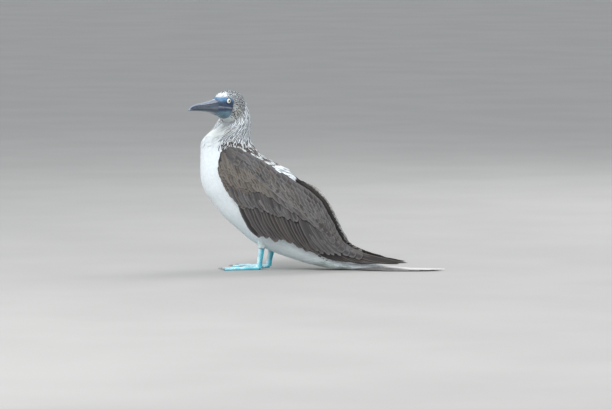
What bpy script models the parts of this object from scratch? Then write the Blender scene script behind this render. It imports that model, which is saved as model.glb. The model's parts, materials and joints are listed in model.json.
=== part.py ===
"""A blue footed booby, standing at rest with its head turned to its left, at life size.

The bird faces -X and stands on the floor, z = 0. Its left side is at -Y. Lengths are in
metres. A profile point is (x, z) in the bird's middle plane before the head is turned.
"""

import math
import random

import bmesh
import bpy
import numpy as np
from mathutils import Vector
from mathutils.bvhtree import BVHTree

MM = 0.001
GAP = 0.3 * MM
MIDDLE_Y = 27 * MM
NECK_AXIS_X = -170 * MM
HEAD_TURN = 63.0

# Each row of the trunk is one section: its front or belly point (x, z), its crown or back
# point (x, z) and half its width, all in millimetres, then its turn about the neck in degrees
# and how round it is, 1 being an ellipse and less being squarer.
TRUNK = [
    (-212, 293, -217, 328, 14, HEAD_TURN, 0.8),
    (-204, 288.5, -210, 334.5, 17.5, HEAD_TURN, 0.84),
    (-194, 285.5, -199, 339, 20.5, HEAD_TURN, 0.9),
    (-188, 283, -184, 341, 22.5, HEAD_TURN, 0.95),
    (-186, 280.5, -167, 340, 24, HEAD_TURN, 1),
    (-190.5, 277.5, -152, 331.5, 25, HEAD_TURN, 1),
    (-196, 273.5, -141, 315, 27, 62, 1),
    (-206, 267, -136, 295, 31.5, 53, 1),
    (-218.5, 257.5, -134.5, 277, 35, 36, 1),
    (-227.5, 247, -135.5, 262, 37, 18, 1),
    (-231, 236, -136, 249, 38.5, 6, 1),
    (-231.5, 224.5, -132, 237, 40.5, 0, 1),
    (-232, 210, -121, 223, 44.5, 0, 1),
    (-232.5, 191, -101, 209, 50, 0, 1),
    (-231, 169, -80, 194, 54, 0, 1),
    (-224, 148, -61, 178.5, 57, 0, 1),
    (-211, 129, -42, 160, 58, 0, 1),
    (-189.5, 102, -25, 138, 58, 0, 1),
    (-162.5, 77.5, -9, 113, 56, 0, 1),
    (-132, 53, 3, 91, 52, 0, 1),
    (-104, 38, 14, 69, 47, 0, 1),
    (-70.5, 25, 24, 50, 40, 0, 1),
    (-34, 14, 34, 35, 33, 0, 1),
    (-1.5, 6.5, 44, 23, 27, 0, 1),
    (24, 2.5, 56, 15.5, 22, 0, 1),
    (54, 0.6, 76, 14.5, 18, 0, 1),
    (84, 0.6, 98, 11.5, 14, 0, 1),
    (112, 0.6, 120, 7.5, 8, 0, 1),
]
HEAD_END = 7.5
NECK_END = 11.5
TORSO_END = 24.0
TAIL_CORE_END = 27.0

# Each row of the wing's core is one section: its upper edge (x, z, distance from the middle
# plane), how far its outer face bulges from the middle plane, and its lower edge (x, z,
# distance). The rows run from the shoulder to the wing's tip.
WING = [
    (-187, 224, 43, 47, -192, 206, 44),
    (-175, 233, 38, 55, -187, 188, 51),
    (-158, 231.5, 34, 62, -178, 165, 57),
    (-131, 220.5, 31, 67, -163.5, 142, 62),
    (-100, 203, 30, 70, -142, 120, 65),
    (-74, 188, 29, 71, -122, 100, 66),
    (-45, 169, 28, 70, -102, 82, 63),
    (-18, 152, 27, 68, -78, 70, 60),
    (3, 132, 26, 62, -50, 58, 55),
    (18, 106, 24, 54, -24, 42, 48),
    (28, 84, 22, 47, 2, 31, 42),
    (38, 64, 20, 40, 20, 23, 38),
    (50, 47, 17.5, 34, 39, 18.5, 32.5),
    (74, 34, 15, 28, 67, 15.5, 27),
    (100, 26, 12, 21.5, 95, 14, 20.5),
    (120, 19.5, 10, 16, 117, 13.5, 15.5),
]
WING_THICKNESS = 8 * MM
EDGE_THICKNESS = 1.4 * MM
WING_CLEAR = 3 * MM
CORE_DEPTH = 4 * MM

# Tiers of wing feathers from the lowest to the uppermost: the paths of each tier's first and
# last feather as (x, z) at the root, the middle and the tip, in millimetres, then how many
# feathers, their width, how high their outer halves lie off the core, how much higher each
# lies than the one before, how far its front edge rides up, and how far the middle of the
# tier bows up.
WING_TIERS = {
    "primaries": (
        [(30, 38), (60, 22), (104, 15.5)],
        [(39, 56), (86, 28), (168, 14.5)],
        4, 10, 1.6, 1.1, 0.3, 0,
    ),
    "secondaries": (
        [(-154, 160), (-132, 110), (-109, 67)],
        [(-32, 112), (-12, 68), (10, 28)],
        10, 21, 2.9, 0, 1.3, 7,
    ),
    "tertials": (
        [(-42, 134), (-21, 82), (2, 36)],
        [(-5, 122), (17, 76), (53, 34)],
        5, 19, 6.2, 0, 1.1, 0,
    ),
    "greater coverts": (
        [(-175, 190), (-161, 158), (-146, 127)],
        [(-62, 152), (-49, 123), (-36, 94)],
        9, 20, 6.0, 0, 1.2, 3,
    ),
    "median coverts": (
        [(-179, 214), (-169, 191), (-158, 166)],
        [(-84, 178), (-72, 157), (-60, 134)],
        7, 22, 6.0, 0, 1.2, 0,
    ),
    "scapulars": (
        [(-150, 218), (-132, 199), (-112, 176)],
        [(-25, 142), (-7, 107), (13, 70)],
        6, 23, 6.8, 0, 1.2, 0,
    ),
}
ROOT_LIFT = -2 * MM
BASE_LIFT = 2.4 * MM
VANE_THICKNESS = 0.7 * MM
SHAFT_RISE = 0.7 * MM

# The bill's rows are distance ahead of the neck's axis, height of the ridge, of the mouth
# line and of the underside, and half the width.
BILL = [
    (47.5, 328, 308, 293.5, 14),
    (60, 325.5, 309, 297.5, 12.6),
    (78, 322.5, 310.3, 301.5, 10.6),
    (98, 320.3, 311, 304, 8.6),
    (116, 318.5, 311.3, 305.7, 6.4),
    (130, 315.5, 310.8, 306.6, 4.4),
    (138, 311.8, 308.8, 306.9, 2.6),
    (141.5, 308.6, 307.2, 306.2, 1.0),
]
BILL_ROUNDNESS = 0.66

EYE_AHEAD = 34 * MM
EYE_HEIGHT = 322 * MM
EYE_SIDE = 10.9 * MM
EYE_RADIUS = 7.5 * MM
LID_RADIUS = 6.6 * MM
LID_THICKNESS = 1.1 * MM

GAPE_AHEAD = (54 * MM, 27 * MM)
GAPE_HEIGHT = 307.6 * MM
GAPE_WIDTH = 0.9 * MM

LEG_SPACING = 27 * MM
KNEES = {1: (-110 * MM, 43 * MM), -1: (-99 * MM, 33 * MM)}
ANKLES = {1: (-116 * MM, 9 * MM), -1: (-106 * MM, 9 * MM)}
SHANK_RADII = ((5.9 * MM, 4.2 * MM), (5.6 * MM, 3.7 * MM))

# Each toe: its angle outward from straight ahead, its length and its radius at the root.
TOES = [(24, 68, 4.0), (4, 70, 4.3), (-20, 50, 3.9), (-72, 23, 3.2)]
TOE_ROOT_RISE = 0.5 * MM
TOE_RISE_STEP = 0.13 * MM
TOE_SPLIT = 27 * MM
CLAW_LENGTH = 9 * MM
WEB_THICKNESS = 1.3 * MM

# The tail's feathers, from the middle pair out: where the tip ends (x, distance aside), the
# width and how high the feather lies at its root, in millimetres.
TAIL_PAIRS = [
    (239, 4, 17, 7.6),
    (230, 11.5, 16, 6.4),
    (214, 18, 15, 5.2),
    (194, 23, 14, 4.0),
    (173, 26, 13, 2.8),
    (152, 27.5, 12, 1.6),
]
TAIL_ROOT = (60 * MM, 4 * MM)

MATERIALS = {
    "plumage_white": ((0.86, 0.85, 0.82), 0.9),
    "plumage_streaked": ((0.55, 0.5, 0.45), 0.9),
    "plumage_brown": ((0.16, 0.13, 0.11), 0.85),
    "tail_grey": ((0.5, 0.47, 0.46), 0.8),
    "bill_horn": ((0.27, 0.3, 0.36), 0.45),
    "eye_yellow": ((0.85, 0.82, 0.5), 0.15),
    "foot_blue": ((0.1, 0.55, 0.68), 0.5),
    "claw_horn": ((0.3, 0.3, 0.3), 0.4),
}


def clear_scene():
    """Removes whatever the file holds."""
    for obj in list(bpy.data.objects):
        bpy.data.objects.remove(obj)


def material(name):
    """The named finish, made once."""
    found = bpy.data.materials.get(name)
    if found:
        return found
    colour, roughness = MATERIALS[name]
    made = bpy.data.materials.new(name)
    made.use_nodes = True
    shader = made.node_tree.nodes["Principled BSDF"]
    shader.inputs["Base Color"].default_value = (*colour, 1)
    shader.inputs["Roughness"].default_value = roughness
    shader.inputs["Metallic"].default_value = 0
    return made


def add_object(name, points, faces, finish):
    """A closed mesh object in the scene, with its faces pointing out."""
    mesh = bpy.data.meshes.new(name)
    mesh.from_pydata([tuple(p) for p in points], [], faces)
    form = bmesh.new()
    form.from_mesh(mesh)
    bmesh.ops.recalc_face_normals(form, faces=form.faces)
    form.to_mesh(mesh)
    form.free()
    mesh.materials.append(material(finish))
    obj = bpy.data.objects.new(name, mesh)
    bpy.context.scene.collection.objects.link(obj)
    return obj


def smooth(obj, angle=35):
    """Smooth shading with edges over the angle kept sharp."""
    obj.data.shade_smooth()
    obj.data.set_sharp_from_angle(angle=math.radians(angle))


def spline_row(rows, t):
    """The row at t of a table, on a smooth curve through its rows."""
    table = np.asarray(rows, float)
    last = len(table) - 1
    i = int(min(max(math.floor(t), 0), last - 1))
    u = t - i
    before = table[max(i - 1, 0)]
    start = table[i]
    end = table[i + 1]
    after = table[min(i + 2, last)]
    linear = end - before
    square = 2 * before - 5 * start + 4 * end - after
    cubic = 3 * start - before - 3 * end + after
    return start + 0.5 * u * (linear + u * (square + u * cubic))


def signed_power(value, power):
    """The value's size raised to a power, with its sign kept."""
    return math.copysign(abs(value) ** power, value)


def turned(point, degrees):
    """A point turned about the neck's upright axis, from the bird's middle plane."""
    x, y, z = point
    angle = math.radians(degrees)
    ahead = x - NECK_AXIS_X
    return Vector(
        (
            NECK_AXIS_X + ahead * math.cos(angle) - y * math.sin(angle),
            MIDDLE_Y + ahead * math.sin(angle) + y * math.cos(angle),
            z,
        )
    )


def trunk_ring(t, sides, swell=0.0):
    """The ring of the trunk at row t, swollen outward by a length."""
    front_x, front_z, back_x, back_z, half_width, turn, power = spline_row(TRUNK, t)
    front = Vector((front_x, 0, front_z)) * MM
    back = Vector((back_x, 0, back_z)) * MM
    middle = (front + back) / 2
    reach = (back - front) / 2
    grown = 1 + swell / reach.length
    ring = []
    for k in range(sides):
        angle = 2 * math.pi * k / sides
        point = middle + reach * grown * signed_power(math.cos(angle), power)
        point.y = (half_width * MM + swell) * signed_power(math.sin(angle), power)
        ring.append(turned(point, turn))
    return ring


def loft(rings):
    """Points and faces of a closed tube through rings of equally many points."""
    sides = len(rings[0])
    points = [p for ring in rings for p in ring]
    faces = []
    for i in range(len(rings) - 1):
        for k in range(sides):
            a = i * sides + k
            b = i * sides + (k + 1) % sides
            faces.append((a, b, b + sides, a + sides))
    for first in (0, (len(rings) - 1) * sides):
        centre = sum((points[first + k] for k in range(sides)), Vector()) / sides
        points.append(centre)
        for k in range(sides):
            faces.append((first + k, first + (k + 1) % sides, len(points) - 1))
    return points, faces


def trunk_part(name, start, end, rings, sides, finish, swell=0.0):
    """The trunk from one row to another as a closed solid."""
    steps = np.linspace(start, end, rings)
    points, faces = loft([trunk_ring(t, sides, swell) for t in steps])
    obj = add_object(name, points, faces, finish)
    smooth(obj)
    return obj


def combine(obj, others, operation, solver="EXACT"):
    """Joins the other objects to obj, or cuts them from it, and removes them."""
    group = bpy.data.collections.new("pieces")
    bpy.context.scene.collection.children.link(group)
    for other in others:
        for home in list(other.users_collection):
            home.objects.unlink(other)
        group.objects.link(other)
    change = obj.modifiers.new("combine", "BOOLEAN")
    change.operation = operation
    change.operand_type = "COLLECTION"
    change.collection = group
    change.solver = solver
    graph = bpy.context.evaluated_depsgraph_get()
    graph.update()
    mesh = bpy.data.meshes.new_from_object(obj.evaluated_get(graph))
    obj.modifiers.clear()
    obj.data = mesh
    for other in others:
        bpy.data.objects.remove(other)
    bpy.data.collections.remove(group)
    return obj


def keep_largest(obj):
    """Drops every closed surface of a mesh but its largest, also those that touch it."""
    form = bmesh.new()
    form.from_mesh(obj.data)
    islands = []
    left = set(form.faces)
    while left:
        stack = [left.pop()]
        island = list(stack)
        while stack:
            for edge in stack.pop().edges:
                if len(edge.link_faces) != 2:
                    continue
                for face in edge.link_faces:
                    if face in left:
                        left.discard(face)
                        island.append(face)
                        stack.append(face)
        islands.append(island)
    islands.sort(key=len)
    extra = [face for island in islands[:-1] for face in island]
    bmesh.ops.delete(form, geom=extra, context="FACES")
    form.to_mesh(obj.data)
    form.free()
    return obj


def head_point(ahead, side, height):
    """A point of the turned head, from its distance ahead of the neck's axis and to its left."""
    return turned((NECK_AXIS_X - ahead, -side, height), HEAD_TURN)


def ball(name, centre, radius, finish):
    """A closed ball."""
    form = bmesh.new()
    bmesh.ops.create_uvsphere(form, u_segments=12, v_segments=8, radius=radius)
    bmesh.ops.translate(form, verts=form.verts, vec=centre)
    mesh = bpy.data.meshes.new(name)
    form.to_mesh(mesh)
    form.free()
    mesh.materials.append(material(finish))
    obj = bpy.data.objects.new(name, mesh)
    bpy.context.scene.collection.objects.link(obj)
    smooth(obj)
    return obj


def eye_centre(side):
    """The middle of one eyeball."""
    return head_point(EYE_AHEAD, side * EYE_SIDE, EYE_HEIGHT)


def eye_direction(side):
    """Where one eye looks: outward and a little ahead."""
    near = head_point(0, 0, 0)
    far = head_point(0.3, side, 0)
    return (far - near).normalized()


def lid_ring(side):
    """The bare ring of skin round one eye."""
    look = eye_direction(side)
    depth = math.sqrt(EYE_RADIUS**2 - (LID_RADIUS - LID_THICKNESS) ** 2)
    centre = eye_centre(side) + look * (depth + 0.2 * MM)
    along = look.cross(Vector((0, 0, 1))).normalized()
    up = along.cross(look)
    rounds, sides = 16, 5
    points = []
    for i in range(rounds):
        angle = 2 * math.pi * i / rounds
        out = along * math.cos(angle) + up * math.sin(angle)
        for k in range(sides):
            turn = 2 * math.pi * k / sides
            spread = out * math.cos(turn) + look * math.sin(turn)
            points.append(centre + out * LID_RADIUS + spread * LID_THICKNESS)
    faces = []
    for i in range(rounds):
        for k in range(sides):
            a = i * sides + k
            b = i * sides + (k + 1) % sides
            c = ((i + 1) % rounds) * sides + (k + 1) % sides
            d = ((i + 1) % rounds) * sides + k
            faces.append((a, b, c, d))
    return add_object("lid", points, faces, "plumage_streaked")


def gape_cutter(side):
    """A thin blade that scores the corner of the mouth into one cheek."""
    ahead, behind = GAPE_AHEAD
    points = []
    for height in (GAPE_HEIGHT - GAPE_WIDTH / 2, GAPE_HEIGHT + GAPE_WIDTH / 2):
        points.append(head_point(ahead, side * 10.5 * MM, height))
        points.append(head_point(behind, side * 17.6 * MM, height))
        points.append(head_point(behind, side * 26 * MM, height))
        points.append(head_point(ahead, side * 26 * MM, height))
    faces = [(3, 2, 1, 0), (4, 5, 6, 7), (0, 1, 5, 4), (1, 2, 6, 5), (2, 3, 7, 6), (3, 0, 4, 7)]
    return add_object("gape", points, faces, "plumage_streaked")


def make_head():
    """The feathered head, its lids raised, a pit for each eyeball and the mouth's corners."""
    head = trunk_part("head", 0, HEAD_END, 16, 22, "plumage_streaked")
    combine(head, [lid_ring(-1), lid_ring(1)], "UNION")
    pits = []
    for side, name in ((1, "eye_left"), (-1, "eye_right")):
        centre = eye_centre(side)
        pits.append(ball("pit", centre, EYE_RADIUS + GAP, "plumage_streaked"))
        ball(name, centre, EYE_RADIUS, "eye_yellow")
    pits += [gape_cutter(-1), gape_cutter(1)]
    combine(head, pits, "DIFFERENCE")
    keep_largest(head)
    smooth(head)


def bill_half(name, upper):
    """One half of the bill, from the face to its tip, closed by the mouth line's flat."""
    sides = 9
    rings = []
    for t in np.linspace(0, len(BILL) - 1, 15):
        ahead, ridge, mouth, under, half_width = spline_row(BILL, t) * MM
        ahead += GAP * (1 - t / (len(BILL) - 1))
        edge = mouth + GAP / 2 if upper else mouth - GAP / 2
        rise = ridge - edge if upper else under - edge
        ring = []
        for k in range(sides):
            angle = math.pi * k / (sides - 1)
            across = half_width * math.cos(angle)
            height = edge + rise * math.sin(angle) ** BILL_ROUNDNESS
            ring.append(head_point(ahead, across, height))
        rings.append(ring)
    points, faces = loft(rings)
    obj = add_object(name, points, faces, "bill_horn")
    smooth(obj)


def make_trunk():
    """The neck and the torso, parted by thin cuts."""
    trunk_part("neck", HEAD_END + 0.05, NECK_END, 9, 22, "plumage_streaked")
    trunk_part("torso", NECK_END + 0.03, TORSO_END, 24, 24, "plumage_white")


def outward(v, upper_y, bulge, lower_y):
    """How far the wing's outer face stands from the middle plane, from upper to lower edge."""
    peak = 0.62
    if v < peak:
        u = 1 - v / peak
        return bulge - (bulge - upper_y) * u**2.2
    u = (v - peak) / (1 - peak)
    return bulge - (bulge - lower_y) * u**2


def wing_section(t, across):
    """One section of a wing's core as (x, outward, z): its outer face, then its inner face."""
    row = spline_row(WING, t) * MM
    upper = Vector((row[0], 0, row[1]))
    lower = Vector((row[4], 0, row[5]))
    outer, inner = [], []
    for v in np.linspace(0, 1, across):
        point = upper.lerp(lower, v)
        reach = outward(v, row[2], row[3], row[6]) - CORE_DEPTH * math.sin(math.pi * v)
        thick = EDGE_THICKNESS + WING_THICKNESS * math.sin(math.pi * v) ** 0.8
        thick = min(thick, reach - WING_CLEAR)
        outer.append(Vector((point.x, reach, point.z)))
        inner.append(Vector((point.x, reach - thick, point.z)))
    return outer + inner[::-1]


def wing_core():
    """Points and faces of a wing's smooth core, as (x, outward, z)."""
    steps = np.linspace(0, len(WING) - 1, 18)
    return loft([wing_section(t, 6) for t in steps])


class Surface:
    """The outer face of a form, asked for its height over a flat plane."""

    def __init__(self, points, faces, axis):
        self.tree = BVHTree.FromPolygons(points, faces)
        self.axis = axis

    def height(self, point, fallback):
        """How high the form stands at a point of the plane, or the fallback off its edge."""
        start = point.copy()
        start[self.axis] = 1
        down = Vector((0, 0, 0))
        down[self.axis] = -1
        hit = self.tree.ray_cast(start, down)[0]
        return hit[self.axis] if hit else fallback


# How wide a feather is at each of its stations, from the root to the tip.
VANE_STATIONS = [(0, 0.5), (0.16, 0.82), (0.6, 1), (0.91, 0.68), (1, 0.13)]


def path_point(path, s):
    """A point on the smooth curve through a feather's root, middle and tip."""
    root, middle, tip = path
    bend = 2 * middle - (root + tip) / 2
    return root * (1 - s) ** 2 + bend * 2 * s * (1 - s) + tip * s**2


def vane(path, width, surface, rise, ride, normal_axis):
    """Points and faces of one feather laid on a surface.

    The path is its root, middle and tip in the surface's plane. The rise is how far it
    stands off the surface at its root, past its root and at its tip, and the ride how far
    its front edge stands above its shaft. Both faces are split alike, so they can't cross.
    """
    points = []
    last = surface.height(path[1], 0)
    for s, wide in VANE_STATIONS:
        centre = path_point(path, s)
        step = path_point(path, s + 0.02) - path_point(path, s - 0.02)
        across = Vector((0, 0, 0))
        axis_a, axis_b = [k for k in range(3) if k != normal_axis]
        across[axis_a] = step[axis_b]
        across[axis_b] = -step[axis_a]
        across.normalize()
        lift = float(np.interp(s, [0, 0.16, 0.6], rise))
        mid = surface.height(centre, last)
        last = mid
        for c, top in ((1, 0), (0, SHAFT_RISE), (-1, 0)):
            spot = centre + across * (c * wide * width / 2)
            near = max(surface.height(spot, mid), mid - 2.5 * MM)
            spot[normal_axis] = near + lift + top + ride * c * min(1, 7 * s)
            points.append(spot)
        under = points[-2].copy()
        under[normal_axis] -= SHAFT_RISE + VANE_THICKNESS
        points.append(under)
    faces = []
    for i in range(len(VANE_STATIONS) - 1):
        for k in range(4):
            a, b = i * 4 + k, i * 4 + (k + 1) % 4
            if k in (0, 3):
                faces += [(a, b, b + 4), (a, b + 4, a + 4)]
            else:
                faces += [(a, b, a + 4), (b, b + 4, a + 4)]
    end = len(points) - 4
    for first in (0, end):
        faces += [(first, first + 1, first + 3), (first + 1, first + 2, first + 3)]
    return points, faces


def lerp_path(first, last, u):
    """A feather's path between those of the first and the last feather of its tier."""
    return [
        Vector((a[0], 0, a[1])).lerp(Vector((b[0], 0, b[1])), u) * MM
        for a, b in zip(first, last)
    ]


def wing_vanes(side, surface, chance):
    """Every feather of one wing, as objects."""
    made = []
    for first, last, count, width, lift, stack, ride, bow in WING_TIERS.values():
        for i in range(count):
            path = lerp_path(first, last, i / (count - 1))
            for point in path:
                point.z += bow * MM * math.sin(math.pi * i / (count - 1))
            stretch = 1 + chance.uniform(-0.035, 0.035)
            path[2] = path[0] + (path[2] - path[0]) * stretch
            wide = width * MM * chance.uniform(0.94, 1.06)
            higher = stack * i * MM
            base = min(BASE_LIFT, lift * MM) + higher
            tip = (lift + chance.uniform(-0.2, 0.2)) * MM + higher
            points, faces = vane(path, wide, surface, (ROOT_LIFT, base, tip), ride * MM, 1)
            placed = [Vector((p.x, MIDDLE_Y - side * p.y, p.z)) for p in points]
            made.append(add_object("vane", placed, faces, "plumage_brown"))
    return made


def make_wings():
    """Both folded wings with their feathers in tiers, cut clear of the trunk."""
    for side, word in ((1, "left"), (-1, "right")):
        chance = random.Random(side)
        points, faces = wing_core()
        surface = Surface(points, faces, 1)
        placed = [Vector((p.x, MIDDLE_Y - side * p.y, p.z)) for p in points]
        wing = add_object("wing_" + word, placed, faces, "plumage_brown")
        combine(wing, wing_vanes(side, surface, chance), "UNION", "MANIFOLD")
        keep_largest(wing)
        body = trunk_part("body", 9, TAIL_CORE_END, 36, 24, "plumage_white", 2 * GAP)
        combine(wing, [body], "DIFFERENCE", "MANIFOLD")
        keep_largest(wing)
        smooth(wing)


def make_tail():
    """The tail: its root, and its feathers fanned along the floor in two halves."""
    tail = trunk_part("tail", TORSO_END + 0.02, TAIL_CORE_END, 8, 20, "tail_grey")
    floor = Surface([Vector((-1, -1, 0)), Vector((1, -1, 0)), Vector((0, 1, 0))], [(0, 1, 2)], 2)
    vanes = []
    for side in (1, -1):
        for tip_x, aside, width, height in TAIL_PAIRS:
            root = Vector((TAIL_ROOT[0], MIDDLE_Y - side * (TAIL_ROOT[1] + 0.2 * aside * MM), 0))
            tip = Vector((tip_x * MM, MIDDLE_Y - side * aside * MM, 0))
            middle = root.lerp(tip, 0.5)
            middle.y -= side * 2.5 * MM
            low = (height + 0.7) * MM
            rise = (low, low, (height * 0.3 + 0.9) * MM)
            ride = side * 0.35 * MM
            points, faces = vane([root, middle, tip], width * MM, floor, rise, ride, 2)
            for point in points:
                point.z = max(point.z, 0)
            vanes.append(add_object("vane", points, faces, "tail_grey"))
    combine(tail, vanes, "UNION", "MANIFOLD")
    keep_largest(tail)
    smooth(tail)


def leg_point(side, profile):
    """A point in the upright plane of one leg, from its profile (x, z)."""
    return Vector((profile[0], MIDDLE_Y - side * LEG_SPACING, profile[1]))


def rod(name, ends, radii, sides, finish):
    """A closed tapered rod with flat level ends, radii given along and across the bird."""
    rings = []
    for end, (along, across) in zip(ends, radii):
        ring = []
        for k in range(sides):
            angle = 2 * math.pi * k / sides
            offset = Vector((along * math.cos(angle), across * math.sin(angle), 0))
            ring.append(end + offset)
        rings.append(ring)
    points, faces = loft(rings)
    obj = add_object(name, points, faces, finish)
    smooth(obj)
    return obj


def make_legs():
    """Each feathered thigh and bare shank."""
    for side, word in ((1, "left"), (-1, "right")):
        knee = leg_point(side, KNEES[side])
        ankle = leg_point(side, ANKLES[side])
        lean = (knee - ankle).normalized()
        hip = knee + Vector((8 * MM, 0, 34 * MM))
        mid = knee + Vector((3 * MM, 0, 10 * MM))
        thigh = rod(
            "thigh_" + word,
            [knee, mid, hip],
            [(7 * MM, 6 * MM), (11 * MM, 9.5 * MM), (15 * MM, 12 * MM)],
            16,
            "plumage_white",
        )
        body = trunk_part("body", 12, TORSO_END, 30, 24, "plumage_white", 2 * GAP)
        combine(thigh, [body], "DIFFERENCE")
        keep_largest(thigh)
        smooth(thigh)
        top = knee - Vector((0, 0, GAP))
        ends = [ankle, ankle + lean * 8 * MM, top - lean * 7 * MM, top]
        low, high = SHANK_RADII
        radii = [
            (low[0] * 1.05, low[1] * 1.1),
            (low[0] * 0.85, low[1] * 0.85),
            (high[0] * 0.95, high[1] * 0.95),
            (high[0] * 1.1, high[1] * 1.1),
        ]
        rod("shank_" + word, ends, radii, 12, "foot_blue")


def toe_frame(side, toe):
    """Where a toe starts, which way it runs on the floor, and which way is across it."""
    angle = math.radians(TOES[toe][0])
    start = leg_point(side, (ANKLES[side][0], 0))
    along = Vector((-math.cos(angle), -side * math.sin(angle), 0))
    return start, along, Vector((-along.y, along.x, 0))


def toe_ring(side, toe, distance, radius):
    """The ring of a toe at a distance along it, flat below, and raised a little at its root."""
    start, along, across = toe_frame(side, toe)
    raised = (TOE_ROOT_RISE + toe * TOE_RISE_STEP) * max(0, 1 - distance / TOE_SPLIT)
    middle = start + along * distance + Vector((0, 0, radius * 0.6))
    ring = []
    for k in range(8):
        angle = 2 * math.pi * k / 8
        point = middle + across * radius * math.cos(angle)
        point.z = max(raised, point.z + radius * math.sin(angle))
        ring.append(point)
    return ring


def make_toe(side, toe):
    """One toe, thick at its joints and thinner between them."""
    length, radius = TOES[toe][1] * MM, TOES[toe][2] * MM
    rings = []
    for t in np.linspace(0, 1, 7):
        taper = 1 - 0.42 * t
        knuckle = 1 + 0.09 * math.cos(6 * math.pi * t)
        rings.append(toe_ring(side, toe, length * t, radius * taper * knuckle))
    points, faces = loft(rings)
    return add_object("toe", points, faces, "foot_blue")


def make_web(side, first, second):
    """The skin between two toes, its free edge curved inward."""
    start, along_a, _ = toe_frame(side, first)
    _, along_b, _ = toe_frame(side, second)
    length_a = TOES[first][1] * MM * 0.96
    length_b = TOES[second][1] * MM * 0.96
    outline = [start]
    for t in np.linspace(0, 1, 6):
        direction = along_a.lerp(along_b, t).normalized()
        length = length_a + (length_b - length_a) * t
        dip = 1 - 0.13 * math.sin(math.pi * t)
        outline.append(start + direction * length * dip)
    low = [p + Vector((0, 0, 0.5 * MM)) for p in outline]
    high = [p + Vector((0, 0, 0.5 * MM + WEB_THICKNESS)) for p in outline]
    count = len(outline)
    faces = [tuple(range(count)), tuple(range(2 * count - 1, count - 1, -1))]
    for k in range(count):
        n = (k + 1) % count
        faces.append((k, n, n + count, k + count))
    return add_object("web", low + high, faces, "foot_blue")


def make_claw(side, toe, name):
    """One claw, curved down from the end of its toe to just above the floor."""
    length, radius = TOES[toe][1] * MM, TOES[toe][2] * MM * 0.5
    start, along, across = toe_frame(side, toe)
    rings = []
    for t in np.linspace(0, 1, 4):
        middle = start + along * (length + GAP + CLAW_LENGTH * t)
        middle.z = radius * 1.15 + 1.0 * MM * math.sin(math.pi * t) - 0.5 * MM * t
        size = radius * (1 - 0.85 * t)
        ring = []
        for k in range(6):
            angle = 2 * math.pi * k / 6
            offset = across * size * 0.8 * math.cos(angle)
            offset.z = size * math.sin(angle)
            ring.append(middle + offset)
        rings.append(ring)
    points, faces = loft(rings)
    obj = add_object(name, points, faces, "claw_horn")
    smooth(obj)


def make_feet():
    """Each webbed foot, all four toes joined by skin, and its claws."""
    for side, word in ((1, "left"), (-1, "right")):
        ankle = leg_point(side, ANKLES[side])
        base = Vector((ankle.x, ankle.y, 0))
        knob = rod(
            "foot_" + word,
            [base, base + Vector((0, 0, 4 * MM)), ankle - Vector((0, 0, GAP))],
            [(6 * MM, 5 * MM), (6.2 * MM, 5.2 * MM), (5.4 * MM, 4.4 * MM)],
            14,
            "foot_blue",
        )
        toes = [make_toe(side, toe) for toe in range(4)]
        webs = [make_web(side, toe, toe + 1) for toe in range(3)]
        combine(knob, toes + webs, "UNION")
        keep_largest(knob)
        smooth(knob)
        for toe in range(4):
            make_claw(side, toe, f"claw_{word}_{toe + 1}")


def main():
    clear_scene()
    make_head()
    bill_half("bill_upper", True)
    bill_half("bill_lower", False)
    make_trunk()
    make_wings()
    make_tail()
    make_legs()
    make_feet()


main()
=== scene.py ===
"""The looks of a blue footed booby: skin, plumage, bill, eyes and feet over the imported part.

Lengths are in metres. The bird faces -X, its left side is at -Y and the floor is z = 0.
"""

from __future__ import annotations

import json
import logging
import math
from dataclasses import dataclass
from enum import Enum
from typing import Any, Callable, Sequence

import bpy
import numpy as np
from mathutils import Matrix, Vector, noise
from mathutils.bvhtree import BVHTree

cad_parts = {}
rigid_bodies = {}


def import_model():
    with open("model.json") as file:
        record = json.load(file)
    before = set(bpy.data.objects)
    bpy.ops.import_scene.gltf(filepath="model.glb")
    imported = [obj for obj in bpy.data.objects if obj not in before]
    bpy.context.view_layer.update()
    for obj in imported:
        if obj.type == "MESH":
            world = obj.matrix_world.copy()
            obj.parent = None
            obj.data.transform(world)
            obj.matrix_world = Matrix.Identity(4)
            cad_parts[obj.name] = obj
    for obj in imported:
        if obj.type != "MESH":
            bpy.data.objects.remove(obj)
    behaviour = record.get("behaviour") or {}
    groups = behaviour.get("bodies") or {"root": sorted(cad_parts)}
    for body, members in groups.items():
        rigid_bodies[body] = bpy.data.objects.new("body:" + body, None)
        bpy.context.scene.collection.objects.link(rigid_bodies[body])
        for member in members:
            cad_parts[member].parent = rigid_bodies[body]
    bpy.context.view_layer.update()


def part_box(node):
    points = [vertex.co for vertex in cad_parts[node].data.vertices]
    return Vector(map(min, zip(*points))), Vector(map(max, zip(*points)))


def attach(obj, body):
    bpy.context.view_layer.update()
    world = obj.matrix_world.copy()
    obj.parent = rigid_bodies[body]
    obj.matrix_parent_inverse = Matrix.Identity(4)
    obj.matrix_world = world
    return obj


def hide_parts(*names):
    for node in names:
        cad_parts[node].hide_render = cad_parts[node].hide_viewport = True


log = logging.getLogger("booby")

MM = 0.001
MIDDLE_Y = 27 * MM
NECK_AXIS_X = -170 * MM
HEAD_TURN = 63.0

Array = np.ndarray
Colour = tuple[float, float, float]
Path = tuple[tuple[float, float], ...]
Paths = tuple[Path, Path]


class Side(Enum):
    """One side of the bird, with the sign of its distance to the left."""

    LEFT = 1
    RIGHT = -1

    @property
    def word(self) -> str:
        """The side's name as the part's nodes give it."""
        return self.name.lower()


def screen(red: float, green: float, blue: float) -> Colour:
    """A colour seen on a screen, 0 to 255, as linear light."""
    return tuple(((v / 255 + 0.055) / 1.055) ** 2.4 for v in (red, green, blue))


def smooth(value: Array, low: float, high: float) -> Array:
    """Eases from 0 at low to 1 at high."""
    u = np.clip((value - low) / (high - low), 0, 1)
    return u * u * (3 - 2 * u)


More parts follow.
